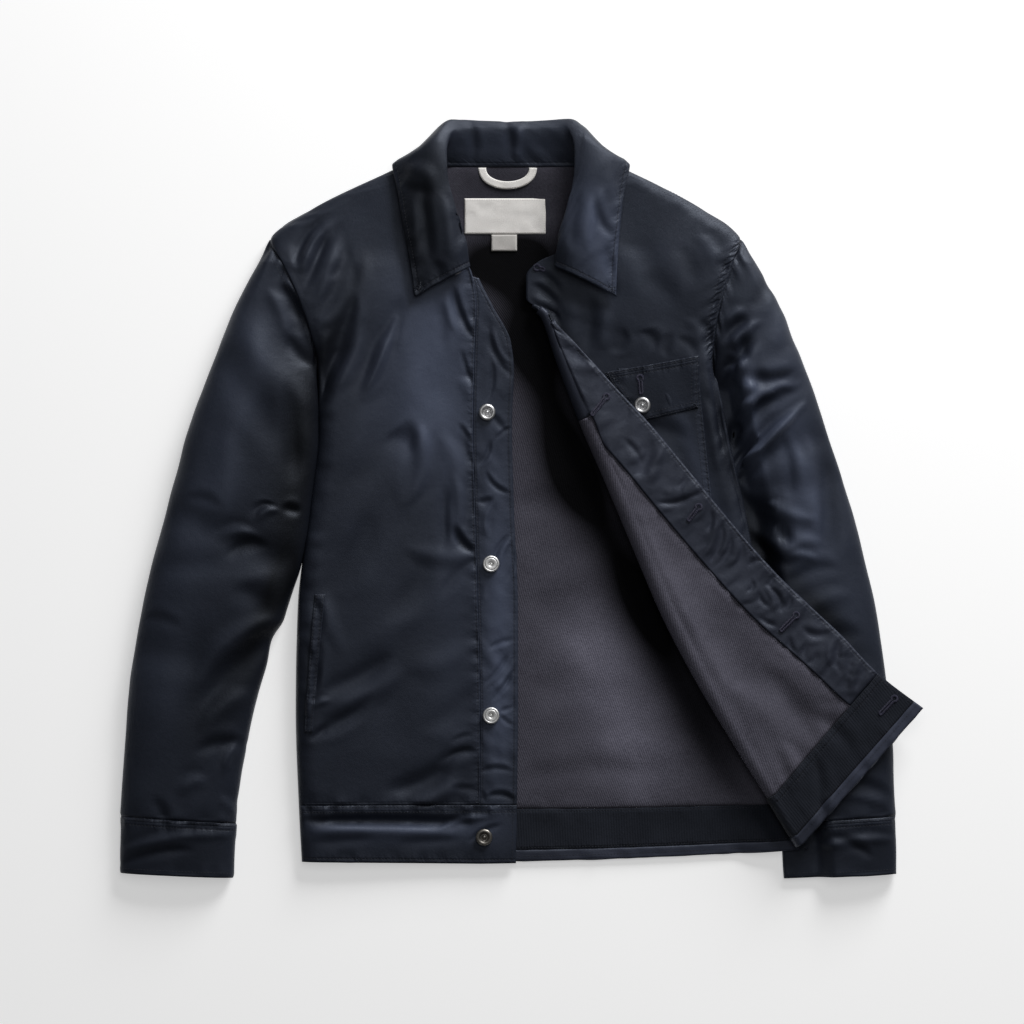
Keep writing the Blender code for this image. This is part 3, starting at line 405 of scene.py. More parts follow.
def roll_frame(t):
    """Centre line, inward direction and inner radius of the left front's roll."""
    step = 0.004  # share of the length to each side, for the crease's direction
    crease = read_point(LEFT_FRONT, "crease", t)
    ahead = read_point(LEFT_FRONT, "crease", np.minimum(t + step, 1))
    behind = read_point(LEFT_FRONT, "crease", np.maximum(t - step, 0))
    along = ahead - behind
    inward = np.stack([-along[..., 1], along[..., 0]], -1)
    inward = inward / np.linalg.norm(inward, axis=-1, keepdims=True)
    opened = smooth((t - FIRST_ROLL) / (ROLL_START - FIRST_ROLL))
    radius = read(LEFT_FRONT, "roll", t) * opened
    layers = (SHELL + FLAP_GAP + CORDUROY) * opened
    centre = crease.copy()
    centre[..., :2] += inward * (radius + layers)[..., None]
    centre[..., 2] += radius
    return centre, inward, radius


def left_front(t, s):
    """Outer face: s runs 0 to 1 over the lower layer, 1 to 2 round the roll, 2 to 3 to the edge."""
    outer = read_point(LEFT_FRONT, "outer", t)
    crown = read(LEFT_FRONT, "crown", t)
    centre, inward, radius = roll_frame(t)
    start = centre.copy()
    start[..., 2] -= radius
    lower = front_panel(outer, start, crown, np.clip(s, 0, 1))
    folds = fold_height(FRONT_FOLDS, lower[..., 0], lower[..., 1])
    lower[..., 2] += folds * smooth(s / 0.15) * smooth((1 - s) / 0.2)
    turn = np.clip(s - 1, 0, 1) * math.pi
    roll = centre.copy()
    roll[..., :2] -= inward * (radius * np.sin(turn))[..., None]
    roll[..., 2] -= radius * np.cos(turn)
    top = centre.copy()
    top[..., 2] += radius
    share = np.clip(s - 2, 0, 1)
    flap = mix(top, read_point(LEFT_FRONT, "cf", t), share)
    flap[..., 2] = top[..., 2] + (read(LEFT_FRONT, "cf_z", t) - top[..., 2]) * smooth(share)
    flap[..., 2] += fold_height(FLAP_FOLDS, flap[..., 0], flap[..., 1]) * smooth(share / 0.25)
    return np.where((s > 2)[..., None], flap, np.where((s > 1)[..., None], roll, lower))


def across_lengths(t):
    """Lengths of the left front's flap, of its roll round the inner face, and of its lower layer."""
    centre, _, radius = roll_frame(t)
    flap = np.linalg.norm((read_point(LEFT_FRONT, "cf", t) - centre)[..., :2], axis=-1)
    lower = np.linalg.norm((read_point(LEFT_FRONT, "outer", t) - centre)[..., :2], axis=-1)
    return flap, math.pi * (radius + SHELL), lower


def share_from_edge(t, distance):
    """The left front's s at a distance from its turned-back edge, over the flap and round the roll."""
    flap, arc, lower = across_lengths(t)
    on_flap = 3 - distance / flap
    on_roll = 2 - (distance - flap) / arc
    on_lower = 1 - (distance - flap - arc) / lower
    return np.where(distance <= flap, on_flap, np.where(distance <= flap + arc, on_roll, on_lower))


def lift(t, x):
    """Height of the back's lower face where the left sleeve lies under it."""
    under = read(BACK, "under", t)
    inside = read(BACK, "right_x", t) - x
    return BODY_LIFT * smooth(under / 8) * smooth(1 - (inside - under - PRESS_MARGIN) / LIFT_RUN)


def back_panel(t, s):
    """Outer face: s runs 0 to 1 down the curl at -X, 1 to 2 across, and 2 to 3 up the curl at +X."""
    left, right = (read_point(BACK, stem, t, "xy") for stem in ("left", "right"))
    curl, end = read(BACK, "curl", t), read(BACK, "end", t)
    mid = np.where(s < 1.5, read(BACK, "left_mid", t), read(BACK, "right_mid", t))
    quarter = 0.5 * math.pi
    angle = -quarter + np.clip(1 - s, 0, 1) * (1 + end) * quarter
    angle = np.where(s > 2, -quarter + (s - 2) * (1 + end) * quarter, angle)
    width = np.linalg.norm(right - left, axis=-1)
    reach = np.cos(np.minimum(0, end) * quarter)
    inset = curl * (1 - np.cos(angle) / reach) / width
    flat = curl / width + (s - 1) * (1 - 2 * curl / width)
    share = np.where(s < 1, inset, np.where(s > 2, 1 - inset, flat))
    plan = mix(left, right, share)
    near_neck = smooth((NECK_HALF - np.abs(plan[..., 0] - COLLAR_MIDDLE)) / NECK_CURVE)
    plan[..., 1] += NECK_RISE * near_neck * smooth((t - NECK_ROWS) / (1 - NECK_ROWS))
    plan[..., 1] -= HEM_SAG * 4 * share * (1 - share) * smooth(1 - t / 0.45)
    height = mid * (1 + np.sin(angle))
    height = np.where((s >= 1) & (s <= 2), 0, height) + lift(t, plan[..., 0])
    return np.concatenate([plan, height[..., None]], -1)


def head_shift(columns, body_edge):
    """For shares across a sleeve's first ring, how far in x its chord lies from the body's armhole."""
    across = np.linspace(0, 1, 41)
    start, end = (
        np.array([columns[stem + "_x"][0], columns[stem + "_y"][0]]) for stem in ("in", "out")
    )
    plan = start + (end - start) * across[:, None]
    chord = (end - start) / np.linalg.norm(end - start)
    to_body = np.array([-chord[1], chord[0]]) * np.sign(start[0])
    plan += to_body * (columns["bow"][0] * 4 * across * (1 - across) - ARMHOLE_GAP)[:, None]
    ys, xs = body_edge[:, 1], body_edge[:, 0]
    order = np.argsort(ys)
    return across, np.interp(plan[:, 1], ys[order], xs[order]) - plan[:, 0]


def sleeve_ring(columns, t, s, armhole, body_edge, free=None):
    """Outer face of a sleeve: s runs 0 to 1 over the top from the inner edge, 1 to 2 back beneath.

    The ring is a flattened round with its widest part low down and its underside on the surface. At
    the armhole its top has the height of the front's edge, and it turns to its own crown by the
    second tenth of its length. Its first ring is moved sideways on to the body's own armhole line
    and tucked under it at the armpit. Where free is below 1 the ring is pressed flat with a small
    round edge.
    """
    s = np.mod(s, 2)
    outer, inner = (read_point(columns, stem, t, "xy") for stem in ("out", "in"))
    high, bow = read(columns, "high", t), read(columns, "bow", t)
    angle = math.pi * (1 - s)
    across = 0.5 + 0.5 * np.sign(np.cos(angle)) * np.abs(np.cos(angle)) ** 0.85
    plan = mix(inner, outer, across)
    chord = outer - inner
    width = np.linalg.norm(chord, axis=-1)
    chord = chord / width[..., None]
    side = np.sign(columns["in_x"][0])
    to_body = np.stack([-chord[..., 1], chord[..., 0]], -1) * side
    away = ARMHOLE_GAP * smooth(1 - t / 0.1)
    plan += to_body * (bow * 4 * across * (1 - across) - away)[..., None]
    plan[..., 0] += np.interp(across, *head_shift(columns, body_edge)) * smooth(1 - t / HEAD_RUN)
    tuck = ARMPIT_TUCK * smooth(1 - t / 0.08) * smooth(1 - across / 0.12)
    plan[..., 0] -= side * tuck
    widest = SLEEVE_WIDEST * high
    rise = np.abs(np.sin(angle))
    own_top = widest + (high - widest) * rise**0.8
    seam_top = widest + (armhole(plan[..., 1]) - widest) * np.minimum(1, rise * 1.6) ** 0.6
    top = seam_top + (own_top - seam_top) * smooth(t / 0.2)
    top += fold_height(SLEEVE_FOLDS, plan[..., 0], plan[..., 1]) * smooth(rise) * smooth(t / 0.15)
    below = np.maximum(0, widest * (1 - 1.3 * rise**0.6))
    if free is not None:
        share = free(plan)
        rounding = PRESSED_ROUND * quarter_round(across * width, PRESSED_ROUND)
        top = PRESSED_ROUND + rounding + (top - PRESSED_ROUND - rounding) * share
        below = PRESSED_ROUND - rounding + (below - PRESSED_ROUND + rounding) * share
    return np.concatenate([plan, np.where(s <= 1, top, below)[..., None]], -1)


def armhole_of(columns, stem):
    """The height of a front's armhole edge as a function of y."""
    rows = slice(6, 11) if stem == "side" else slice(3, 8)
    ys, zs = columns[stem + "_y"][rows], columns[stem + "_z"][rows]
    order = np.argsort(ys)
    return lambda y: np.interp(y, ys[order], zs[order])


def right_sleeve(t, s):
    """The right sleeve, joined to the right front's side."""
    return sleeve_ring(RIGHT_SLEEVE, t, s, armhole_of(RIGHT_FRONT, "side"), RIGHT_ARMHOLE)


def clear_of_body(plan):
    """0 where the body lies on the left sleeve, rising to 1 outside the body's side edge."""
    below_armpit = slice(0, 9)
    edge_y, edge_x = BACK["right_y"][below_armpit], BACK["right_x"][below_armpit]
    edge = np.interp(plan[..., 1], edge_y, edge_x)
    outside = smooth((plan[..., 0] - edge - PRESS_MARGIN) / PRESS_RISE)
    started = smooth((edge_y[-1] - plan[..., 1]) / ARMPIT_RUN)
    return 1 - (1 - outside) * started


def left_sleeve(t, s):
    """The left sleeve, joined to the left front's outer edge and pressed flat under the body."""
    armhole = armhole_of(LEFT_FRONT, "outer")
    return sleeve_ring(LEFT_SLEEVE, t, s, armhole, LEFT_ARMHOLE, clear_of_body)


def armhole_line(columns, stem, start, end, tip):
    """A front's armhole from the armpit up, carried on to the shoulder's tip."""
    return np.concatenate([read_point(columns, stem, np.linspace(start, end, 60)), [tip]])


RIGHT_ARMHOLE = armhole_line(RIGHT_FRONT, "side", 0.655, 0.86, (-252, 261, 10))
LEFT_ARMHOLE = armhole_line(LEFT_FRONT, "outer", 0.325, 0.14, (223, 261, 10))


def collar(t, s):
    """Upper collar's face: t runs 0 to 1 round the neck, s 0 to 1 from the neck seam to the edge."""
    half = np.array(COLLAR_HALF, float)
    other = half[::-1][1:].copy()
    other[..., 0] = 2 * COLLAR_MIDDLE - other[..., 0]
    spread = np.linspace(0, 1, half.shape[1])[None, :] * np.linspace(-2, 1, len(other))[:, None]
    other[..., 0] += LEFT_TIP_SPREAD * np.clip(spread, 0, None)
    whole = np.concatenate([half, other])
    stations = np.linspace(0, 1, len(whole))
    result = np.empty(s.shape + (3,))
    for axis in range(3):
        along = [read({"t": stations, "v": line}, "v", t) for line in whole[..., axis].T]
        points = np.array(along).reshape(len(COLLAR_STEPS), -1)
        result[..., axis] = spline_across(COLLAR_STEPS, points, s.ravel()).reshape(s.shape)
    return result


def spline_across(stations, values, wanted):
    """Column by column, a smooth curve through values (one row a station) read at wanted."""
    slopes = np.gradient(values, stations, axis=0)
    row = np.clip(np.searchsorted(stations, wanted, side="right") - 1, 0, len(stations) - 2)
    step = stations[row + 1] - stations[row]
    share = (wanted - stations[row]) / step
    here, ahead = ((at, np.arange(len(wanted))) for at in (row, row + 1))
    return hermite(share, step, values[here], slopes[here], values[ahead], slopes[ahead])


def outward(surface, t, s, sign):
    """Unit normals of a surface by central differences. sign picks the side that is outward."""
    step = 1e-3
    along_t = surface(t + step, s) - surface(t - step, s)
    along_s = surface(t, s + step) - surface(t, s - step)
    normal = np.cross(along_t, along_s) * sign
    length = np.linalg.norm(normal, axis=-1, keepdims=True)
    return normal / np.maximum(length, 1e-12)


def newton(surface, wanted, t, s, rounds, pull, limits=None):
    """t and s where a surface's plan meets the wanted points, by damped steps from a first guess."""
    step = 1e-4
    for _ in range(rounds):
        here = surface(t, s)[..., :2]
        by_t = (surface(t + step, s)[..., :2] - here) / step
        by_s = (surface(t, s + step)[..., :2] - here) / step
        miss = wanted - here
        det = by_t[..., 0] * by_s[..., 1] - by_t[..., 1] * by_s[..., 0]
        t = t + pull * (miss[..., 0] * by_s[..., 1] - miss[..., 1] * by_s[..., 0]) / det
        s = s + pull * (by_t[..., 0] * miss[..., 1] - by_t[..., 1] * miss[..., 0]) / det
        if limits:
            t, s = np.clip(t, *limits[0]), np.clip(s, *limits[1])
    return t, s


def pocket_grid(top_inner, top_outer, bottom_outer, bottom_inner, rows, columns):
    """t and s on the left front's lower layer of a four-cornered patch given by its plan corners."""
    down, over = np.meshgrid(np.linspace(0, 1, rows), np.linspace(0, 1, columns), indexing="ij")
    corners = np.array([top_inner, top_outer, bottom_outer, bottom_inner], float)
    inner = mix(corners[0], corners[3], down)
    outer = mix(corners[1], corners[2], down)
    wanted = mix(outer, inner, over)
    guess = np.full_like(down, 0.4), np.full_like(down, 0.5)
    return newton(left_front, wanted, *guess, 30, 0.7, limits=((0.02, 0.9), (0.02, 0.98)))


def find_on(surface, x, y, t, s):
    """The t and s of a surface's point over a plan point, from a first guess."""
    return newton(surface, np.array([[x, y]]), np.array([t], float), np.array([s], float), 40, 0.6)


# ---------------------------------------------------------------- relief


# Points to each side of the net of random heights, and where in it the origin lies
NET = 128
NET_X, NET_Y = 40.3, 40.7


def soft(x, y, size, seed):
    """Smooth noise from -1 to 1: random heights on a square net of this size, blended between."""
    net = np.random.default_rng(seed).uniform(-1, 1, (NET, NET))
    u, v = x / size + NET_X, y / size + NET_Y
    column, row = np.floor(u).astype(int), np.floor(v).astype(int)
    across, up = u - column, v - row
    across, up = (k * k * k * (k * (6 * k - 15) + 10) for k in (across, up))
    low, high = (
        net[line % NET, column % NET] * (1 - across) + net[line % NET, (column + 1) % NET] * across
        for line in (row, row + 1)
    )
    return low * (1 - up) + high * up


# A crease's lip: its height as a share of the crease's depth, and how many widths beside it it lies
LIP = 0.35
LIP_AT = 1.7


def creases(rows, x, y):
    """The sum of listed creases: bent round troughs (depth below 0) or ridges.

    Each runs from x0, y0 to x1, y1, its middle pushed sideways by bend, and narrows to its ends.
    One side of it carries a low lip of the other sign, as pressed cloth does.
    """
    height = np.zeros_like(x)
    for x0, y0, x1, y1, bend, width, depth in np.stack(list(rows.values()), 1):
        length = math.hypot(x1 - x0, y1 - y0)
        along = ((x - x0) * (x1 - x0) + (y - y0) * (y1 - y0)) / length
        across = ((y - y0) * (x1 - x0) - (x - x0) * (y1 - y0)) / length
        share = along / length
        across = across - 4 * bend * share * (1 - share)
        middle = np.exp(-((2 * share - 1) ** 4) * 1.2)
        past_end = np.maximum(0, np.maximum(-along, along - length))
        narrow = width * (0.6 + 0.4 * middle)
        lip = np.exp(-(((across - LIP_AT * narrow) / narrow) ** 2))
        body = np.exp(-((across / narrow) ** 2)) - LIP * lip
        near = np.abs(across) < 5 * width
        height += np.where(near, depth * middle * body * np.exp(-((past_end / width) ** 2)), 0)
    return height


# The columns of the tables of creases, in the order that creases reads them
CREASE = "x0 y0 x1 y1 bend width depth"

RIGHT_CREASES = table(
    CREASE,
    (-202, 276, -224, 234, -3, 6, -1.9),
    (-188, 276, -216, 230, -4, 6, 1.3),
    (-170, 226, -203, 170, 4, 7, 1),
    (-166, 200, -190, 152, 3, 7, -1.9),
    (-174, 160, -202, 92, -5, 10, -2.6),
    (-135, 156, -154, 100, 2, 10, 1.1),
    (-118, 198, -137, 158, 0, 9, -0.9),
    (-160, 130, -180, 20, 6, 16, 0.9),
    (-132, 60, -106, 46, 6, 11, -1.3),
    (-94, 70, -119, -4, -5, 10, 1.2),
    (-75, 60, -60, 0, 4, 8, 1),
    (-66, 20, -64, -30, 4, 6, 1.1),
    (-68, -30, -45, -54, -4, 5, -1.7),
    (-76, 8, -77, -50, 2, 6, -1.1),
    (-47, -64, -78, -96, -3, 6, -0.9),
    (-50, -58, -112, -50, 4, 8, 0.9),
    (-92, -60, -130, -120, 5, 12, -0.9),
    (-132, -160, -197, -194, 3, 9, -1.5),
    (-120, -176, -192, -214, 4, 9, 1),
    (-150, -200, -204, -236, 3, 7, -1.3),
    (-70, -266, -128, -293, 5, 10, -2.3),
    (-62, -286, -104, -306, 3, 7, 1.1),
    (-44, -250, -82, -264, -2, 6, -1.1),
    (-50, -150, -110, -170, 4, 12, 0.8),
    (-45, -190, -95, -230, 4, 12, -0.9),
    (-205, -100, -203, -142, 3, 5, -1),
    (-196, -96, -180, -150, -3, 7, 0.7),
    (-212, -150, -206, -205, 3, 5, -0.9),
    (-66, 210, -49, 162, -3, 4, -1.2),
    (-74, 204, -64, 166, -2, 4, 0.8),
    (-82, 196, -78, 150, 2, 6, -0.7),
    (-60, 120, -46, 92, 2, 6, 0.8),
    (-58, 70, -45, 30, -3, 5, -0.9),
    (-150, -20, -190, -90, 6, 14, -0.9),
    (-140, 20, -190, -60, -6, 16, 0.8),
    (-100, -100, -160, -150, 5, 14, 0.8),
    (-170, 250, -190, 220, 2, 6, -0.8),
    (-212, -323, -52, -325, 0, 5, -2.2),
    (-205, -333, -70, -337, 2, 6, 1.5),
    (-206, -345, -150, -341, 0, 6, -0.8),
    (-120, -346, -60, -343, 1, 6, -0.6),
    (-68, 212, -49, 164, -2, 2.5, -0.8),
    (-59, 148, -47, 112, -1, 2.2, -0.7),
    (-62, 74, -48, 56, 0, 2.5, -0.7),
    (-65, -28, -47, -54, -3, 3, -1),
    (-70, -2, -64, -47, -3, 4, 0.8),
    (-68, -244, -47, -238, 2, 2.4, -0.7),
    (-72, -260, -44, -254, 3, 3, -1),
    (-68, -290, -44, -292, 0, 3, -0.6),
    (-112, 74, -118, 0, 6, 9, -1.3),
    (-100, 68, -110, -2, 6, 8, 1.1),
    (-124, 180, -153, 110, 1, 4.5, 1.5),
    (-140, 168, -164, 103, 1, 6, -0.9),
    (-204, 272, -220, 236, 0, 6, 1.3),
    (-194, 266, -214, 212, 1, 5, -1.2),
    (-182, 262, -202, 198, 2, 6, 1.1),
    (-164, 242, -198, 180, 3, 9, -1.6),
    (-168, 176, -202, 110, 2, 9, -1.8),
    (-158, 168, -184, 108, 1, 8, 1),
    (-202, -142, -206, -192, 2, 4, -1),
    (-208, -208, -190, -202, 1, 3, 0.9),
    (-212, -242, -194, -228, -2, 4, -0.8),
    (-80, -332, -32, -320, 3, 3, 1),
    (-50, -344, -20, -328, 2, 3, -0.8),
)
PLACKET_CREASES = table(
    CREASE,
    (-31, 170, -10, 124, -6, 3, -0.7),
    (-25, 164, -8, 134, -4, 2.5, 0.62),
    (-30, 142, -31, 100, 3, 2.8, -0.7),
    (-29, 84, -15, 67, 0, 3.5, -0.7),
    (-23, 60, -9, 71, 1, 2, -0.62),
    (-30, 56, -41, 33, 2.5, 2.5, -0.86),
    (-34, 25, -11, 5, -4, 2.6, -1.01),
    (-43, -4, -27, -1, -1, 3, -0.78),
    (-28, -5, -33, -38, -4, 3, 0.7),
    (-12, -38, -26, -64, -3, 2.2, -0.86),
    (-9, -42, -20, -68, -3, 2.5, 0.7),
    (-6, -50, -13, -82, 3, 2.2, -0.7),
    (-40, -88, -41, -106, 0, 3, -0.62),
    (-8, -142, -30, -150, -1, 2.8, -0.78),
    (-12, -156, -35, -186, 2, 2.3, -0.78),
    (-6, -164, -28, -194, 2, 2.4, 0.62),
    (-8, -174, -27, -202, 2, 2.2, -0.78),
    (-8, -210, -20, -214, 0, 2.2, -0.7),
    (-20, -218, -7, -228, -1, 2.2, -0.62),
    (-39, -274, -8, -274, 3, 3, -0.78),
    (-32, -299, -6, -302, 3, 3.2, -1.09),
    (-38, -294, -36, -304, 0, 2.5, -0.7),
)
LEFT_CREASES = table(
    CREASE,
    (36, 198, 37, 160, -2, 7, -0.99),
    (52, 196, 52, 152, 2, 7, 0.61),
    (70, 200, 68, 150, 2, 8, -0.99),
    (86, 186, 84, 150, -2, 7, 0.55),
    (104, 168, 94, 146, 3, 6, -0.83),
    (122, 166, 136, 150, 4, 6, -0.88),
    (150, 164, 146, 142, -2, 5, -0.66),
    (168, 178, 182, 150, 4, 6, 0.66),
    (158, 160, 176, 142, 3, 5, -0.61),
    (180, 176, 194, 148, 3, 5, -0.66),
    (196, 236, 214, 222, 2, 6, -0.88),
    (178, 262, 196, 232, 3, 7, 0.8),
    (160, 250, 174, 214, 3, 9, -0.72),
    (96, 250, 118, 206, 5, 12, 0.72),
    (120, 220, 156, 196, 4, 11, -0.64),
    (60, 226, 96, 200, 4, 10, -0.72),
    (20, 226, 40, 206, 2, 4, -0.72),
    (12, 214, 36, 196, 2, 4, -1),
    (10, 204, 34, 186, 1, 3.5, 0.7),
    (22, 196, 38, 178, 0, 3.5, -0.9),
    (184, 148, 196, 96, -2, 6, 1.8),
    (188, 126, 203, 50, 3, 4, -1.9),
    (196, 120, 219, 26, 2, 5, 1.4),
    (208, 44, 226, -20, 1, 4, -1.2),
    (186, 96, 198, 30, 2, 5, 0.8),
    (138, 122, 150, 88, 3, 8, 1),
    (134, 104, 144, 84, 2, 5, -1.3),
    (160, 118, 174, 92, 2, 7, -0.9),
    (120, 72, 166, 60, 3, 9, -1),
    (124, 52, 160, 24, 3, 9, 0.9),
)
COLLAR_CREASES = table(
    CREASE,
    (-108, 296, -104, 230, 3, 7, 1),
    (-96, 310, -90, 240, -3, 7, -1),
    (-78, 300, -70, 246, 3, 6, 0.9),
    (-86, 236, -80, 214, 2, 6, -0.8),
    (-112, 330, -84, 316, 3, 7, 1),
    (-118, 312, -86, 304, -2, 6, -0.8),
    (-50, 376, -47, 338, 2, 5, -0.77),
    (-14, 377, -10, 340, 2, 5, -1.04),
    (2, 376, -2, 340, -2, 5, 0.72),
    (80, 306, 66, 250, -5, 7, 1.4),
    (74, 300, 92, 262, -5, 5, -1.2),
    (92, 316, 96, 240, 3, 7, 0.8),
    (60, 300, 52, 250, -3, 6, -1),
    (86, 250, 92, 222, 0, 6, -0.9),
)
RIGHT_SLEEVE_CREASES = table(
    CREASE,
    (-238, 212, -222, 180, 2, 6, -2),
    (-250, 206, -232, 160, 3, 7, 1.4),
    (-232, 160, -212, 134, -2, 6, -1.6),
    (-262, 170, -292, 50, 4, 16, 1.4),
    (-290, 60, -304, -30, 3, 14, 1.5),
    (-232, 110, -226, 20, 2, 10, -2),
    (-262, -22, -242, -12, 4, 4, 1.2),
    (-266, -18, -246, -6, 5, 3, -0.8),
    (-292, -58, -256, -46, 5, 7, -2),
    (-300, -40, -266, -36, 5, 5, 1.1),
    (-236, -10, -220, -14, 0, 5, -1.6),
    (-282, -90, -250, -120, 6, 12, -1.4),
    (-312, -200, -226, -134, 9, 14, -2.8),
    (-322, -182, -250, -122, 8, 9, 1.2),
    (-318, -230, -270, -196, 5, 10, 1.2),
    (-322, -252, -276, -246, 4, 7, -1.4),
    (-296, -272, -282, -244, 2, 5, 1.2),
    (-340, -292, -314, -282, 3, 6, 1.1),
    (-366, -300, -354, -330, 2, 6, -1),
    (-300, -300, -286, -316, 1, 5, 0.9),
    (-396, -352, -288, -338, 6, 5, 1),
    (-398, -366, -330, -352, 4, 5, -1),
    (-350, 60, -372, -60, 3, 16, -1),
    (-342, -120, -372, -260, 5, 18, 0.9),
    (-376, -120, -340, -128, 3, 6, -0.6),
    (-330, 0, -300, -8, 3, 6, -0.6),
)
LEFT_SLEEVE_CREASES = table(
    CREASE,
    (224, 188, 205, 174, -2, 5, 1.5),
    (226, 178, 203, 158, -2, 6, -1.8),
    (238, 176, 210, 148, -3, 5, 1.4),
    (232, 158, 202, 122, -3, 7, -3),
    (214, 160, 217, 116, 4, 4, 1.2),
    (226, 122, 272, 124, -6, 7, -2),
    (218, 116, 276, 112, -9, 6, 1.2),
    (214, 60, 272, 108, 5, 8, -2.8),
    (220, 86, 262, 112, 3, 5, 1),
    (215, 21, 282, 92, 2, 5, 2.3),
    (222, 20, 262, 54, -3, 6, -1),
    (262, 60, 270, 0, 3, 6, -1.1),
    (276, 46, 290, -34, 3, 9, 1.6),
    (234, 0, 268, -44, 4, 10, -2.6),
    (246, -6, 262, -16, 3, 4, 1.1),
    (290, 20, 306, -60, 3, 12, -0.9),
    (262, -58, 300, -44, 6, 8, 1.4),
    (270, -84, 316, -70, 5, 8, -1.2),
    (278, -122, 326, -96, 5, 9, 1),
    (292, -150, 340, -136, 4, 10, -1.1),
    (320, -230, 352, -250, 3, 8, 0.9),
    (322, -282, 370, -296, 3, 5, -1.1),
    (318, -296, 366, -306, 2, 4, 0.9),
    (300, -350, 372, -342, 3, 5, 1),
    (312, -338, 350, -358, 2, 5, -1.1),
    (250, 220, 230, 190, 2, 8, -0.9),
    (262, 190, 252, 150, 3, 10, 0.9),
    (207, 146, 225, 126, 2, 5, 1.2),
    (202, 130, 228, 146, 0, 4, -1.6),
    (225, 168, 216, 110, -3, 5, -1),
    (222, 98, 270, 106, 5, 5, -1),
    (213, 78, 214, 46, 1, 6, -2.2),
    (218, 22, 272, 80, 3, 5, 1.4),
    (218, 34, 256, 86, 2, 6, -1.8),
    (218, 18, 292, -22, -8, 6, 1),
    (220, 10, 256, -42, -3, 5, -1.2),
    (242, -18, 272, -50, 2, 5, -1.8),
    (256, -42, 280, -60, 3, 4, 0.8),
    (230, -37, 270, -68, -3, 6, -1.6),
    (286, 58, 296, -42, 4, 7, 1.3),
    (302, 58, 314, -62, 4, 8, -0.8),
    (270, -58, 296, -62, 3, 4, 1),
    (229, 132, 222, 64, 3, 7, 2.2),
    (232, 56, 238, 2, -3, 8, 2),
)
FLAP_CREASES = table(
    CREASE,
    (40, 150, 66, 134, 3, 7, -1),
    (58, 130, 92, 122, 4, 6, 0.9),
    (120, -60, 170, -170, 8, 18, 0.8),
    (180, -60, 220, -170, -8, 16, -0.7),
    (210, -190, 262, -240, 6, 12, 1.2),
    (240, -170, 290, -236, 5, 12, -1.4),
    (262, -246, 276, -286, 2, 7, 1),
    (292, -216, 330, -250, 4, 8, -0.8),
    (296, -262, 300, -318, 2, 6, -1.2),
)
FACING_CREASES = table(
    CREASE,
    (131, 55, 116, 22, 2, 6, -0.9),
    (144, 50, 130, 16, -2, 6, 0.8),
    (140, -5, 172, 2, -3, 3, -1.2),
    (144, 6, 174, 12, -3, 5, 0.8),
    (172, 1, 186, 10, -1, 3, -0.8),
    (191, -13, 188, -33, 1, 3, -0.9),
    (202, -28, 190, -62, 4, 2.6, -1.2),
    (196, -24, 183, -58, 3, 3, 0.8),
    (211, -38, 196, -68, 4, 2.6, -1.1),
    (218, -42, 207, -68, 4, 2.8, 0.8),
    (228, -68, 243, -61, 2, 3, -0.9),
    (232, -82, 226, -94, 3, 2.6, -0.9),
    (253, -76, 244, -89, 2, 2.6, -0.9),
    (251, -90, 261, -114, 3, 3, -1),
    (244, -88, 253, -114, 3, 3, 0.8),
    (271, -98, 261, -113, 2, 2.6, -0.9),
    (238, -94, 246, -108, -2, 2.6, -0.8),
    (256, -128, 239, -120, 1, 3, -0.9),
    (269, -138, 273, -153, -2, 2.6, -0.9),
    (282, -131, 310, -135, -4, 4, -1),
    (288, -143, 283, -158, -2, 2.4, -0.9),
    (298, -154, 286, -166, 2, 2.6, -1),
    (320, -143, 318, -173, -3, 3, -1.3),
    (312, -142, 310, -168, -3, 3, 0.9),
    (302, -178, 328, -156, 4, 2.6, -1.1),
    (332, -156, 326, -198, -2, 2.4, -1),
    (346, -168, 332, -193, 2, 2.8, -1.1),
    (336, -162, 328, -186, 2, 2.6, 0.8),
    (318, -191, 336, -174, 3, 2.4, -0.8),
    (104, 58, 120, 36, 2, 3, -0.7),
)
BACK_CREASES = table(
    CREASE,
    (0, 0, 60, -20, 4, 14, -0.6),
    (20, -90, 110, -70, 6, 16, 0.7),
    (10, -190, 120, -210, 6, 18, -0.7),
    (60, -250, 180, -262, 4, 14, 0.6),
    (0, -282, 120, -276, 5, 10, -0.6),
)

# Painted light and shade on the cloth's colour: above 0 a painted highlight, below 0 painted shade, deep in
# the neck, beside the roll and on sides turned from the key light
PAINTED_SHADING_COLUMNS = "x y long short turn value"
# Right front: painted highlights on the chest, placket and waistband, painted shade near the armhole, at the
# side and in the waistband's groove
RIGHT_PAINTED_SHADING = table(
    PAINTED_SHADING_COLUMNS,
    (-90, 148, 120, 42, 85, 2.7),
    (-65, -62, 190, 24, 90, 0.8),
    (-23, -122, 200, 16, 90, 1.6),
    (-18, -145, 110, 14, 90, 1.8),
    (-198, 126, 44, 14, 75, -0.6),
    (-170, 198, 60, 10, 65, -0.4),
    (-130, 36, 40, 22, 80, -0.25),
    (-145, -142, 190, 40, 90, 0.1),
    (-210, -202, 60, 8, 90, -0.3),
    (-160, -324, 90, 5, 0, -0.5),
    (-120, -332, 95, 12, 0, 2.0),
    (-15, -302, 20, 6, 0, -0.4),
)
# Left front: painted highlights and painted shade over the lower layer
LEFT_PAINTED_SHADING = table(
    PAINTED_SHADING_COLUMNS,
    (80, 198, 40, 30, 0, 0.1),
    (120, 98, 50, 30, 0, -0.25),
    (180, 28, 80, 8, -70, 0.8),
    (40, 168, 40, 8, -50, -0.5),
    (197, 68, 60, 6, -75, -0.35),
    (213, -42, 30, 10, -70, 0.9),
)
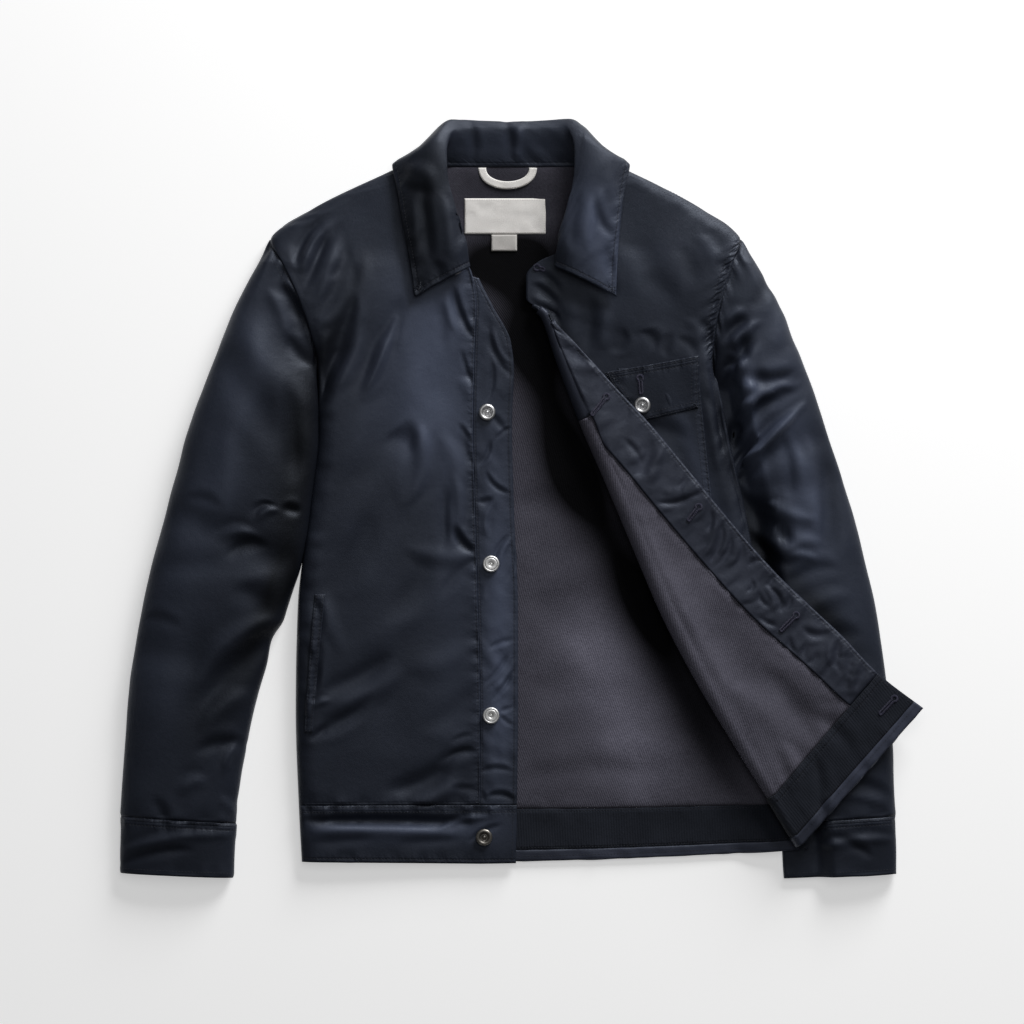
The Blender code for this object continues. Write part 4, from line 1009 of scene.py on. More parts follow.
# Right sleeve: a painted highlight along its crown, painted shade down its inner side and in its folds
RIGHT_SLEEVE_PAINTED_SHADING = table(
    PAINTED_SHADING_COLUMNS,
    (-295, 58, 150, 26, 75, 0.7),
    (-222, 30, 140, 24, 82, -0.92),
    (-252, -112, 60, 14, 65, -0.75),
    (-294, -202, 60, 26, 55, -0.55),
    (-280, -42, 30, 12, 0, -0.25),
    (-360, -142, 120, 34, 82, 0.35),
    (-340, -352, 60, 20, 0, -0.2),
)
# Left sleeve: painted highlights on its upper half, painted shade in its folds and at its inner edge
LEFT_SLEEVE_PAINTED_SHADING = table(
    PAINTED_SHADING_COLUMNS,
    (278, 18, 95, 22, -80, 1.9),
    (215, 62, 34, 9, 90, -0.4),
    (232, -32, 40, 14, -60, -0.8),
    (230, 70, 66, 14, -80, 1.8),
    (280, -92, 60, 10, -48, -0.6),
    (330, -142, 60, 12, -48, -0.5),
    (235, 113, 30, 8, 10, 0.6),
    (255, 148, 50, 24, -70, 0.6),
    (330, -102, 120, 16, -75, 0.5),
    (326, -352, 60, 20, 0, -0.2),
)
# Collar: painted shade on the leaf at -X, painted highlights on the stand and on the leaf at +X
COLLAR_PAINTED_SHADING = table(
    PAINTED_SHADING_COLUMNS,
    (-100, 278, 80, 28, 80, -0.75),
    (-15, 354, 56, 16, 0, 0.9),
    (80, 256, 60, 26, -70, 2.3),
    (50, 338, 30, 20, -60, 0.2),
)
# Back lining: painted shadow deep in the neck and beside the roll of the turned-back front, and a painted
# highlight lower down
BACK_PAINTED_SHADING = table(
    PAINTED_SHADING_COLUMNS,
    (10, 198, 70, 46, 90, -0.97),
    (-20, 236, 46, 26, 0, -0.95),
    (35, 78, 90, 30, -72, -0.97),
    (90, -42, 110, 30, -62, -0.9),
    (160, -182, 110, 26, -62, -0.85),
    (-15, 312, 70, 34, 0, -0.55),
    (95, -205, 100, 34, -66, 1.1),
)
# Turned-in hem strips: painted highlights
STRIP_PAINTED_SHADING = table(
    PAINTED_SHADING_COLUMNS,
    (360, -260, 70, 60, 50, 1.0),
    (180, -366, 130, 14, 0, 0.9),
)
# The flap's lining: a painted highlight
FLAP_PAINTED_SHADING = table(PAINTED_SHADING_COLUMNS, (110, -150, 240, 90, -55, 0.6))

# The painted light and shade that each piece of cloth wears; a piece that isn't named here has none
PAINTED_SHADING = dict(
    right_front=RIGHT_PAINTED_SHADING, right_placket=RIGHT_PAINTED_SHADING, right_waistband=RIGHT_PAINTED_SHADING,
    left_front=LEFT_PAINTED_SHADING, chest_pocket=LEFT_PAINTED_SHADING, chest_pocket_flap=LEFT_PAINTED_SHADING,
    right_top_sleeve=RIGHT_SLEEVE_PAINTED_SHADING, right_cuff_top=RIGHT_SLEEVE_PAINTED_SHADING,
    left_top_sleeve=LEFT_SLEEVE_PAINTED_SHADING, left_cuff_top=LEFT_SLEEVE_PAINTED_SHADING,
    collar=COLLAR_PAINTED_SHADING, back_lining=BACK_PAINTED_SHADING, left_lining=FLAP_PAINTED_SHADING,
    left_hem_turn_in=STRIP_PAINTED_SHADING, back_hem_turn_in=STRIP_PAINTED_SHADING,
)


def painted_shading_at(name, x, y):
    """The sum of a piece's patches of painted light and shade: ellipses of these half lengths, turned by
    degrees, soft to nothing.
    """
    total = np.zeros_like(x)
    for x0, y0, long, short, turn, value in np.stack(list(PAINTED_SHADING[name].values()), 1):
        cos, sin = math.cos(math.radians(turn)), math.sin(math.radians(turn))
        along, across = (x - x0) * cos + (y - y0) * sin, (y - y0) * cos - (x - x0) * sin
        total += value * np.exp(-((along / long) ** 4) - (across / short) ** 2)
    return total


# ---------------------------------------------------------------- cloth


def measured(points):
    """Lengths over a grid of points, from its first column along each row, and down each column."""
    over = np.linalg.norm(np.diff(points, axis=1), axis=-1).cumsum(1)
    down = np.linalg.norm(np.diff(points, axis=0), axis=-1).cumsum(0)
    return np.pad(over, ((0, 0), (1, 0))), np.pad(down, ((1, 0), (0, 0)))


def quad_areas(points):
    """The area of each four-cornered cell of a grid: half the cross product of its diagonals."""
    one = points[1:, 1:] - points[:-1, :-1]
    other = points[1:, :-1] - points[:-1, 1:]
    return 0.5 * np.linalg.norm(np.cross(one, other), axis=-1)


def side_of(edge, over, down, *grids):
    """A grid turned so that the named edge is its first column, with the distances from that edge."""
    turned = [over if edge in ("start_s", "end_s") else down, *grids]
    if edge in ("start_t", "end_t"):
        turned = [np.swapaxes(grid, 0, 1) for grid in turned]
    if edge in ("end_s", "end_t"):
        turned = [grid[:, ::-1] for grid in turned]
        turned[0] = turned[0][:, :1] - turned[0]
    return turned


# Where a sheet has no sewn line near, its distance from one, in millimetres
FAR_FROM_SEAM = 50.0


def edge_distances(over, down):
    """The distance of each point of a grid from its four edges, by the edge's name."""
    return dict(start_s=over, end_s=over[:, -1:] - over, start_t=down, end_t=down[-1:] - down)


def seam_field(sewn, over, down):
    """For each point its distance from the nearest sewn line, the length along it, and its pull."""
    field = np.zeros(over.shape + (3,))
    field[..., 0] = FAR_FROM_SEAM
    for edge, offset, pull in sewn:
        away = edge_distances(over, down)[edge]
        along = down if edge in ("start_s", "end_s") else over
        nearer = np.abs(away - offset) < np.abs(field[..., 0])
        line = np.stack([away - offset, along, np.zeros_like(over) + pull], -1)
        field = np.where(nearer[..., None], line, field)
    return field


def build_mesh(name, points, faces, finish):
    """A smooth-shaded mesh object at the origin from points in millimetres."""
    mesh = bpy.data.meshes.new(name)
    mesh.from_pydata((points.reshape(-1, 3) * MM).tolist(), [], faces)
    mesh.shade_smooth()
    mesh.materials.append(FINISHES[finish])
    piece = bpy.data.objects.new(name, mesh)
    collection.objects.link(piece)
    return piece


def enter(piece, replaced=None):
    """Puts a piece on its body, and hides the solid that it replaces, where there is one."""
    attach(piece, "root")
    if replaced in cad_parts:
        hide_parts(replaced)


def grid_faces(rows, columns):
    """The four corners of each cell of a grid whose points are listed row by row."""
    first = (np.arange(rows - 1)[:, None] * columns + np.arange(columns - 1)).reshape(-1)
    return np.stack([first, first + 1, first + columns + 1, first + columns], -1)


def keep_faces(points, faces, keep):
    """Faces whose corners are all kept, renumbered, with the list of the points that they use."""
    faces = faces[keep.reshape(-1)[faces].all(1)]
    used = np.unique(faces)
    number = np.zeros(len(points), int)
    number[used] = np.arange(len(used))
    return used, number[faces]


def lay(mesh, name, values, kind="FLOAT", field="value"):
    """Values laid on a mesh's points, for the finish to read."""
    mesh.attributes.new(name, kind, "POINT").data.foreach_set(field, values)


def dress(
    name, surface, t, s, sign, relief=None, thickness=SHELL, finish="waxed_cotton", out=0.0,
    keep=None, sewn=(),
):
    """A sheet on a surface: point = surface + normal * (out + relief), its wall laid behind it.

    sign turns the surface's normal outward. keep says which points of the grid the sheet has.
    relief is a function of the place on the sheet: x, y, t, s and the distances start_s, end_s,
    start_t and end_t from its four edges. sewn lists its stitched lines as (edge, distance, pull).
    What would dip into the table lies flat on it.
    """
    if np.ndim(t) == 1:
        t, s = np.meshgrid(t, s, indexing="ij")
    normal = outward(surface, t, s, sign)
    form = surface(t, s) + normal * out
    over, down = measured(form)
    place = dict(x=form[..., 0], y=form[..., 1], t=t, s=s, **edge_distances(over, down))
    height = np.zeros_like(t) if relief is None else RELIEF * relief(place)
    points = form + normal * height[..., None]
    points[..., 2] = np.maximum(points[..., 2], thickness * np.clip(normal[..., 2], 0, 1))
    seam = seam_field(sewn, over, down)
    values = [points, np.stack([over, down], -1) * MM, height, seam]
    kept = kept_here = np.ones(t.shape, bool) if keep is None else keep
    if sign > 0:
        values, kept = [value[:, ::-1] for value in values], kept[:, ::-1]
    points_now, uv, raised, seam = (v.reshape(-1, *v.shape[2:]) for v in values)
    used, faces = keep_faces(points_now, grid_faces(*t.shape), kept)
    piece = build_mesh(name + "_cloth", points_now[used], faces.tolist(), finish)
    mesh = piece.data
    corner = np.empty(len(mesh.loops), np.int32)
    mesh.loops.foreach_get("vertex_index", corner)
    mesh.uv_layers.new(name="cloth").data.foreach_set("uv", uv[used][corner].reshape(-1))
    lay(mesh, "relief", raised[used])
    # Painted light and shade: the piece's patches of painted highlight and painted shade are laid on its
    # points for the finish to read
    if name in PAINTED_SHADING:
        lay(mesh, "painted_shading", painted_shading_at(name, points_now[used, 0], points_now[used, 1]))
    lay(mesh, "seam", seam[used].reshape(-1), "FLOAT_VECTOR", "vector")
    wall = piece.modifiers.new("wall", "SOLIDIFY")
    wall.thickness = thickness * MM
    wall.offset = -1
    wall.use_quality_normals = True
    enter(piece, name)
    cells = kept[1:, 1:] & kept[:-1, :-1] & kept[1:, :-1] & kept[:-1, 1:]
    flat_form = form[:, ::-1] if sign > 0 else form
    area = float((quad_areas(flat_form) * cells).sum()) * MM * MM
    width, length = float((over * kept_here).max()) * MM, float((down * kept_here).max()) * MM
    width = min(width, 2 * area / length)
    if width > NARROWEST_SHEET:
        area = min(area, width * length)
    return dict(piece=piece, points=points, normal=normal, over=over, down=down, thickness=thickness)


def line_on(sheet, edge, distance, face):
    """The run of points, and their normals, at a distance from an edge of a dressed sheet."""
    points, normal = sheet["points"], sheet["normal"]
    if face == "inner":
        points, normal = points - normal * sheet["thickness"], -normal
    away, points, normal = side_of(edge, sheet["over"], sheet["down"], points, normal)
    row = np.arange(len(away))
    column = np.clip((away < distance).sum(1) - 1, 0, away.shape[1] - 2)
    step = away[row, column + 1] - away[row, column]
    share = np.clip((distance - away[row, column]) / step, 0, 1)[:, None]
    place = points[row, column] * (1 - share) + points[row, column + 1] * share
    facing = normal[row, column] * (1 - share) + normal[row, column + 1] * share
    return place, facing


def lines_on(sheet, *lines, face="outer"):
    """The runs at several places on one sheet, each given as its edge and distance."""
    return [line_on(sheet, edge, distance, face) for edge, distance in lines]


# One stitch: along, across and up, in shares of its half length and of the thread's radius
STITCH = np.array(
    [(-1, 0, -1.2)]
    + [(end, c, u) for end in (-0.6, 0.6) for c, u in ((1, 0), (0, 1.1), (-1, 0), (0, -1))]
    + [(1, 0, -1.2)]
)
STITCH_FACES = [(0, 1 + (k + 1) % 4, 1 + k) for k in range(4)]
STITCH_SIDES = [(1 + k, 1 + (k + 1) % 4, 5 + (k + 1) % 4, 5 + k) for k in range(4)]
STITCH_ENDS = [(9, 5 + k, 5 + (k + 1) % 4) for k in range(4)]


def sew(name, runs, finish="navy_thread", pitch=3.2, half=1.15, radius=0.24):
    """Stitches along runs of points: one small spindle every pitch, lying on the cloth."""
    points, threes, fours, total = [], [], [], 0
    for place, normal in runs:
        step = np.linalg.norm(np.diff(place, axis=0), axis=-1)
        length = np.concatenate([[0], np.cumsum(step)])
        centre = np.arange(0.6 * pitch, length[-1] - 0.5 * pitch, pitch)
        ends = [
            np.stack([np.interp(centre + shift, length, place[:, axis]) for axis in range(3)], -1)
            for shift in (-half, half)
        ]
        up = np.stack([np.interp(centre, length, normal[:, axis]) for axis in range(3)], -1)
        along = ends[1] - ends[0]
        along /= np.linalg.norm(along, axis=-1, keepdims=True)
        across = np.cross(up, along)
        across /= np.linalg.norm(across, axis=-1, keepdims=True)
        up = np.cross(along, across)
        middle = (ends[0] + ends[1]) / 2
        stitch = (
            middle[:, None]
            + along[:, None] * (STITCH[:, :1] * half)
            + across[:, None] * (STITCH[:, 1:2] * radius)
            + up[:, None] * (STITCH[:, 2:] * radius)
        )
        start = total + len(STITCH) * np.arange(len(centre))[:, None, None]
        threes.append((start + np.array(STITCH_FACES + STITCH_ENDS)).reshape(-1, 3))
        fours.append((start + np.array(STITCH_SIDES)).reshape(-1, 4))
        points.append(stitch.reshape(-1, 3))
        total += len(STITCH) * len(centre)
    faces = np.concatenate(threes).tolist() + np.concatenate(fours).tolist()
    enter(build_mesh(name, np.concatenate(points), faces, finish))


def puckers(distance, along, reach, pitch, depth, seed):
    """Short waves across a seam: noise along it, fading out at reach from it."""
    wave = soft(along, 0.25 * distance + 7.0 * seed, pitch, seed)
    return depth * wave * np.exp(-((distance / reach) ** 2))


def pulls(at, *rows):
    """Puckers at several sewn edges, each (edge, offset from it, reach, pitch, depth, seed)."""
    along = dict(start_s="start_t", end_s="start_t", start_t="start_s", end_t="start_s")
    return sum(puckers(at[edge] - offset, at[along[edge]], *rest) for edge, offset, *rest in rows)


def settle(distance, run):
    """0 at an edge, 1 past the run: it holds a sheet's edge where its neighbour meets it."""
    return smooth(distance / run)


def held(at, **runs):
    """The product of settle at several of a sheet's edges, each with its run."""
    return math.prod(settle(at[edge], run) for edge, run in runs.items())


# ---------------------------------------------------------------- finishes


def group(name, inputs, outputs):
    """A shader node group with its named sockets, and a function that adds and joins nodes in it."""
    tree = bpy.data.node_groups.new(name, "ShaderNodeTree")
    for label, kind, value in inputs:
        socket = tree.interface.new_socket(name=label, in_out="INPUT", socket_type=kind)
        if value is not None:
            socket.default_value = value
    for label, kind in outputs:
        tree.interface.new_socket(name=label, in_out="OUTPUT", socket_type=kind)
    return tree, tree.nodes.new("NodeGroupInput").outputs, tree.nodes.new("NodeGroupOutput").inputs


def put(tree, value, socket):
    """Join an output to a socket, or set the socket where the value is plain."""
    if hasattr(value, "is_linked"):
        tree.links.new(value, socket)
    else:
        socket.default_value = value


def math_node(tree, operation, *values):
    """A maths node with its values joined or set."""
    node = tree.nodes.new("ShaderNodeMath")
    node.operation = operation
    for value, socket in zip(values, node.inputs):
        put(tree, value, socket)
    return node.outputs[0]


def plus(tree, *values):
    """One value added to another."""
    return math_node(tree, "ADD", *values)


def times(tree, *values):
    """One value multiplied by another."""
    return math_node(tree, "MULTIPLY", *values)


def noise(tree, vector, scale, detail=2.0, rough=0.5):
    """Noise about 0.5 over a vector at a scale per metre."""
    node = tree.nodes.new("ShaderNodeTexNoise")
    put(tree, vector, node.inputs["Vector"])
    put(tree, scale, node.inputs["Scale"])
    node.inputs["Detail"].default_value = detail
    node.inputs["Roughness"].default_value = rough
    return node.outputs["Fac"]


# A mix node's sockets for colours, by number, because their names aren't unique
MIX_SHARE, MIX_LOW, MIX_HIGH, MIX_RESULT = 0, 6, 7, 2


def blend(tree, share, low, high):
    """A colour between two, given as red, green and blue."""
    node = tree.nodes.new("ShaderNodeMix")
    node.data_type = "RGBA"
    put(tree, share, node.inputs[MIX_SHARE])
    for colour, socket in ((low, node.inputs[MIX_LOW]), (high, node.inputs[MIX_HIGH])):
        put(tree, (*colour, 1) if isinstance(colour, tuple) else colour, socket)
    return node.outputs[MIX_RESULT]


def ramp(tree, value, low, high, to_low=0.0, to_high=1.0):
    """A value carried from one range to another in a straight line, and held at its ends."""
    node = tree.nodes.new("ShaderNodeMapRange")
    for given, socket in zip((value, low, high, to_low, to_high), node.inputs):
        put(tree, given, socket)
    return node.outputs[0]


# A sewn line: how fast its groove and its puckers fall away in square millimetres, how many
# radians of pucker to a millimetre, and how far noise pushes them along
GROOVE_FALL = -1.1
LADDER_FALL = -0.06
LADDER_TURNS = 0.95
LADDER_WANDER = 9.0


def make_sewn_line():
    """Height in millimetres of a stitched line: a groove along it, drawn into a ladder of puckers."""
    tree, given, result = group(
        "sewn_line",
        [
            ("Seam", "NodeSocketVector", None),
            ("Groove", "NodeSocketFloat", 0.25),
            ("Ladder", "NodeSocketFloat", 0.3),
        ],
        [("Height", "NodeSocketFloat"), ("Near", "NodeSocketFloat")],
    )
    split = tree.nodes.new("ShaderNodeSeparateXYZ")
    put(tree, given["Seam"], split.inputs[0])
    away, along, pull = split.outputs
    square = math_node(tree, "POWER", math_node(tree, "ABSOLUTE", away), 2.0)
    near, wide = (
        math_node(tree, "EXPONENT", times(tree, square, fall)) for fall in (GROOVE_FALL, LADDER_FALL)
    )
    wander = noise(tree, given["Seam"], 0.16)
    phase = plus(tree, times(tree, along, LADDER_TURNS), times(tree, wander, LADDER_WANDER))
    ladder = times(tree, math_node(tree, "SINE", phase), wide)
    plain = math_node(tree, "SUBTRACT", 2.0, pull)
    plain.node.use_clamp = True
    line = times(tree, near, plain)
    drawn = times(tree, times(tree, ladder, given["Ladder"]), pull)
    height = math_node(tree, "SUBTRACT", drawn, times(tree, line, given["Groove"]))
    put(tree, height, result["Height"])
    put(tree, line, result["Near"])
    return tree


def make_weave():
    """Height of a plain weave on the cloth's own map: threads both ways, over and under by turns."""
    tree, given, result = group(
        "plain_weave",
        [("Map", "NodeSocketVector", None), ("Pitch", "NodeSocketFloat", 0.0009)],
        [("Height", "NodeSocketFloat")],
    )
    split = tree.nodes.new("ShaderNodeSeparateXYZ")
    put(tree, given["Map"], split.inputs[0])
    turns = math_node(tree, "DIVIDE", 2 * math.pi, given["Pitch"])
    across, along = (math_node(tree, "SINE", times(tree, way, turns)) for way in split.outputs[:2])
    put(tree, times(tree, across, along), result["Height"])
    return tree


def make_mottle():
    """Two masks from 0 to 1 for what is worn unevenly: cloudy patches and fine grains."""
    tree, given, result = group(
        "uneven_wax",
        [
            ("Place", "NodeSocketVector", None),
            ("Patch", "NodeSocketFloat", 28.0),
            ("Grain", "NodeSocketFloat", 700.0),
        ],
        [("Patches", "NodeSocketFloat"), ("Grains", "NodeSocketFloat")],
    )
    patches = noise(tree, given["Place"], given["Patch"], 4.0, 0.6)
    grains = noise(tree, given["Place"], given["Grain"], 2.0, 0.7)
    put(tree, ramp(tree, patches, 0.3, 0.7), result["Patches"])
    put(tree, ramp(tree, grains, 0.25, 0.75), result["Grains"])
    return tree


def make_ribs():
    """Height of ribs that run along one direction of a vector, each a little uneven."""
    tree, given, result = group(
        "ribs",
        [
            ("Across", "NodeSocketFloat", 0.0),
            ("Place", "NodeSocketVector", None),
            ("Pitch", "NodeSocketFloat", 0.0025),
        ],
        [("Height", "NodeSocketFloat")],
    )
    wander = times(tree, noise(tree, given["Place"], 60.0), 1.5)
    turns = times(tree, math_node(tree, "DIVIDE", given["Across"], given["Pitch"]), 2 * math.pi)
    wave = math_node(tree, "SINE", plus(tree, turns, wander))
    put(tree, plus(tree, times(tree, wave, 0.5), 0.5), result["Height"])
    return tree


GROUPS = {
    "sewn_line": make_sewn_line(),
    "plain_weave": make_weave(),
    "uneven_wax": make_mottle(),
    "ribs": make_ribs(),
}


# The least share of its colour that a patch of painted shade keeps
DARKEST_PAINTED_SHADE = 0.04


def with_painted_shading(finish, colour):
    """The colour made paler by painted highlights and darker by painted shade, as the piece's painted light
    and shade says, but never black.
    """
    tree = finish.tree
    share = math_node(tree, "MAXIMUM", plus(tree, finish.attribute("painted_shading").outputs["Fac"], 1.0), DARKEST_PAINTED_SHADE)
    node = tree.nodes.new("ShaderNodeVectorMath")
    node.operation = "SCALE"
    put(tree, colour, node.inputs[0])
    put(tree, share, node.inputs["Scale"])
    return node.outputs[0]


class Finish:
    """A material being made: its node tree, its shader and the maps that cloth finishes read."""

    def __init__(self, name):
        """A new material with its shader, its place in space and the cloth's own map."""
        self.material = bpy.data.materials.new(name)
        self.material.use_nodes = True
        self.tree = self.material.node_tree
        self.shader = self.tree.nodes["Principled BSDF"]
        self.place = self.tree.nodes.new("ShaderNodeTexCoord").outputs["Object"]
        uv_map = self.tree.nodes.new("ShaderNodeUVMap")
        uv_map.uv_map = "cloth"
        self.map = uv_map.outputs[0]

    def attribute(self, name):
        """The node that reads a value laid on the mesh."""
        node = self.tree.nodes.new("ShaderNodeAttribute")
        node.attribute_name = name
        return node

    def use(self, name, **values):
        """One of the shared effects with this finish's own values."""
        node = self.tree.nodes.new("ShaderNodeGroup")
        node.node_tree = GROUPS[name]
        for socket, value in values.items():
            put(self.tree, value, node.inputs[socket])
        return node.outputs

    def sewn(self, groove, ladder):
        """The sewn lines' effect, read from the seam values laid on the mesh."""
        seam = self.attribute("seam").outputs["Vector"]
        return self.use("sewn_line", Seam=seam, Groove=groove, Ladder=ladder)

    def across(self, *weights):
        """A distance on the cloth's map: along its first side, or along both, each with a weight."""
        split = self.tree.nodes.new("ShaderNodeSeparateXYZ")
        put(self.tree, self.map, split.inputs[0])
        return sums(self.tree, *zip(split.outputs, weights))

    def bump(self, *heights):
        """The bump of several heights in millimetres, each given with its weight."""
        node = self.tree.nodes.new("ShaderNodeBump")
        node.inputs["Distance"].default_value = MM
        node.inputs["Strength"].default_value = 1.0
        put(self.tree, sums(self.tree, *heights), node.inputs["Height"])
        put(self.tree, node.outputs[0], self.shader.inputs["Normal"])

    def set(self, **values):
        """Set or join the shader's sockets, named with _ for a space."""
        for socket, value in values.items():
            put(self.tree, value, self.shader.inputs[socket.replace("_", " ")])


def sums(tree, *terms):
    """The sum of several outputs, each given with its weight."""
    total = None
    for value, weight in terms:
        part = times(tree, value, weight)
        total = part if total is None else plus(tree, total, part)
    return total


# The dark of a stitched groove, and the blue cast of waxed cloth's shine
GROOVE_COLOUR = (0.006, 0.007, 0.011)
COOL_SHINE = (0.76, 0.84, 1.0)


def make_waxed(name, trough, ridge, roughness):
    """Waxed cotton with a soft shine: paler in random patches of rubbed wax, paler on ridges and darker in
    troughs, partly rubbed wax and partly painted highlight and painted shade, and carrying the piece's
    painted light and shade.
    """
    finish = Finish(name)
    tree = finish.tree
    wax = finish.use("uneven_wax", Place=finish.place)
    sewn = finish.sewn(0.2, 0.10)
    weave = finish.use("plain_weave", Map=finish.map)
    fine = noise(tree, finish.place, 160.0, 4.0, 0.62)
    # Partly rubbed wax, partly painted highlight on ridges and painted shade in troughs: the relief's height
    # makes the colour paler or darker
    raised = ramp(tree, finish.attribute("relief").outputs["Fac"], -1.4, 1.6)
    share = sums(tree, (raised, 0.45), (wax["Patches"], 0.25), (wax["Grains"], 0.12), (fine, 0.18))
    dark = times(tree, sewn["Near"], 0.35)
    colour = blend(tree, dark, blend(tree, share, trough, ridge), GROOVE_COLOUR)
    # The base colour carries the piece's painted light and shade
    finish.set(Base_Color=with_painted_shading(finish, colour), Specular_IOR_Level=0.38, Specular_Tint=(*COOL_SHINE, 1))
    finish.set(Roughness=ramp(tree, wax["Patches"], 0.0, 1.0, roughness + 0.05, roughness - 0.05))
    finish.bump((sewn["Height"], 1.0), (fine, 0.25), (weave["Height"], 0.03), (wax["Grains"], 0.05))
    return finish.material


def make_lining():
    """Cotton lining: the fine ribs of a twill, a little off the upright, and a soft cloudiness."""
    finish = Finish("lining")
    tree = finish.tree
    ribs = finish.use("ribs", Across=finish.across(0.94, 0.34), Place=finish.place, Pitch=0.0021)["Height"]
    sewn = finish.sewn(0.2, 0.15)
    wax = finish.use("uneven_wax", Place=finish.place, Patch=18.0, Grain=500.0)
    share = sums(tree, (ribs, 0.25), (wax["Patches"], 0.3), (wax["Grains"], 0.45))
    # The colour carries the piece's painted light and shade: on the back lining, painted shadow in the neck
    # and beside the roll
    colour = with_painted_shading(finish, blend(tree, share, (0.038, 0.037, 0.050), (0.115, 0.112, 0.143)))
    finish.set(Base_Color=colour, Roughness=0.9, Specular_IOR_Level=0.08)
    finish.bump((ribs, 0.16), (wax["Grains"], 0.16), (sewn["Height"], 1.0))
    return finish.material


def make_corduroy():
    """Corduroy: rounded wales along the sheet's own map, paler on their tops."""
    finish = Finish("corduroy")
    tree = finish.tree
    ribs = finish.use("ribs", Across=finish.across(1.0), Place=finish.place, Pitch=0.0026)["Height"]
    sewn = finish.sewn(0.4, 0.1)
    grains = finish.use("uneven_wax", Place=finish.place, Patch=30.0, Grain=900.0)
    share = sums(tree, (ribs, 0.15), (grains["Grains"], 0.5), (grains["Patches"], 0.35))
    colour = blend(tree, share, (0.008, 0.010, 0.015), (0.026, 0.030, 0.042))
    finish.set(Base_Color=colour, Roughness=0.95, Specular_IOR_Level=0.1, Sheen_Weight=0.12)
    finish.bump((ribs, 0.16), (grains["Grains"], 0.15), (sewn["Height"], 1.0))
    return finish.material


def make_tape(name, low, high):
    """Woven cotton tape: a plain weave, a little darker in patches."""
    finish = Finish(name)
    tree = finish.tree
    weave = finish.use("plain_weave", Map=finish.map, Pitch=0.0012)["Height"]
    grains = finish.use("uneven_wax", Place=finish.place, Patch=60.0, Grain=900.0)
    share = sums(tree, (grains["Patches"], 0.5), (grains["Grains"], 0.3), (weave, 0.2))
    finish.set(Base_Color=blend(tree, share, low, high), Roughness=0.85, Sheen_Weight=0.1)
    finish.bump((weave, 0.08), (grains["Grains"], 0.08))
    return finish.material


def make_thread(name, colour):
    """Thread: one colour, darker in small patches, with a fine grain."""
    finish = Finish(name)
    tree = finish.tree
    grains = finish.use("uneven_wax", Place=finish.place, Patch=300.0, Grain=2500.0)
    dark = tuple(0.6 * c for c in colour)
    finish.set(Base_Color=blend(tree, grains["Patches"], dark, colour), Roughness=0.6)
    finish.bump((grains["Grains"], 0.05))
    return finish.material


def make_metal(name, low, high, rough):
    """Cast metal: duller and darker in small patches of tarnish, with a fine grain."""
    finish = Finish(name)
    tree = finish.tree
    grains = finish.use("uneven_wax", Place=finish.place, Patch=260.0, Grain=1800.0)
    share = sums(tree, (grains["Patches"], 0.7), (grains["Grains"], 0.3))
    finish.set(Base_Color=blend(tree, share, low, high), Metallic=1.0)
    finish.set(Roughness=ramp(tree, grains["Patches"], 0.0, 1.0, rough + 0.12, rough))
    finish.bump((grains["Grains"], 0.04))
    return finish.material


FINISHES = {
    "waxed_cotton": make_waxed("waxed_cotton", (0.0082, 0.0101, 0.0168), (0.0228, 0.0272, 0.0412), 0.45),
    "waxed_facing": make_waxed("waxed_facing", (0.0155, 0.018, 0.028), (0.039, 0.0435, 0.064), 0.46),
    "lining": make_lining(),
    "corduroy": make_corduroy(),
    "tape": make_tape("tape", (0.84, 0.81, 0.78), (0.97, 0.95, 0.92)),
    "tab_tape": make_tape("tab_tape", (0.50, 0.48, 0.46), (0.68, 0.66, 0.63)),
    "navy_thread": make_thread("navy_thread", (0.017, 0.019, 0.030)),
    "plum_thread": make_thread("plum_thread", (0.046, 0.045, 0.085)),
    "cream_thread": make_thread("cream_thread", (0.62, 0.58, 0.52)),
    "nickel": make_metal("nickel", (0.50, 0.50, 0.51), (0.85, 0.85, 0.86), 0.34),
    "bright": make_metal("bright", (0.80, 0.80, 0.80), (0.98, 0.98, 0.97), 0.42),
    "antique": make_metal("antique", (0.10, 0.095, 0.09), (0.36, 0.34, 0.31), 0.38),
}
collection = bpy.data.collections.new("waxed_cotton_jacket")
bpy.context.scene.collection.children.link(collection)


# ---------------------------------------------------------------- relief of each piece


def unevenness(at, amount=1.0, seed=11):
    """The soft unevenness that all of the waxed cloth has: broad swells and lesser ones on them."""
    x, y = at["x"], at["y"]
    return amount * (0.5 * soft(x, y, 52, seed) + 0.2 * soft(x, y, 26, seed + 1))


def worn(rows, at, *uneven):
    """A piece's listed creases with the soft unevenness of waxed cloth."""
    return creases(rows, at["x"], at["y"]) + unevenness(at, *uneven)


def right_front_relief(at):
    """Listed creases, puckers at the side, placket and waistband seams, and unevenness."""
    height = worn(RIGHT_CREASES, at)
    height += pulls(at, ("end_s", 0, 11, 8.5, 0.75, 3), ("start_s", 12, 10, 10, 0.5, 4))
    height += puckers(at["start_t"], at["end_s"], 9, 11, 0.7, 5)
    return height * held(at, start_s=9, end_s=2.5, start_t=2.5, end_t=6)


def placket_relief(at):
    """Strong slanting folds drawn up between the placket's two sewn lines."""
    x, y = at["x"], at["y"]
    slant = soft(x * 0.8 + y * 0.6, 0.45 * (y - x), 9, 22)
    height = creases(PLACKET_CREASES, x, y) + 0.35 * slant + 0.25 * unevenness(at)
    return height * held(at, start_s=2.2, end_s=2.5, start_t=2)


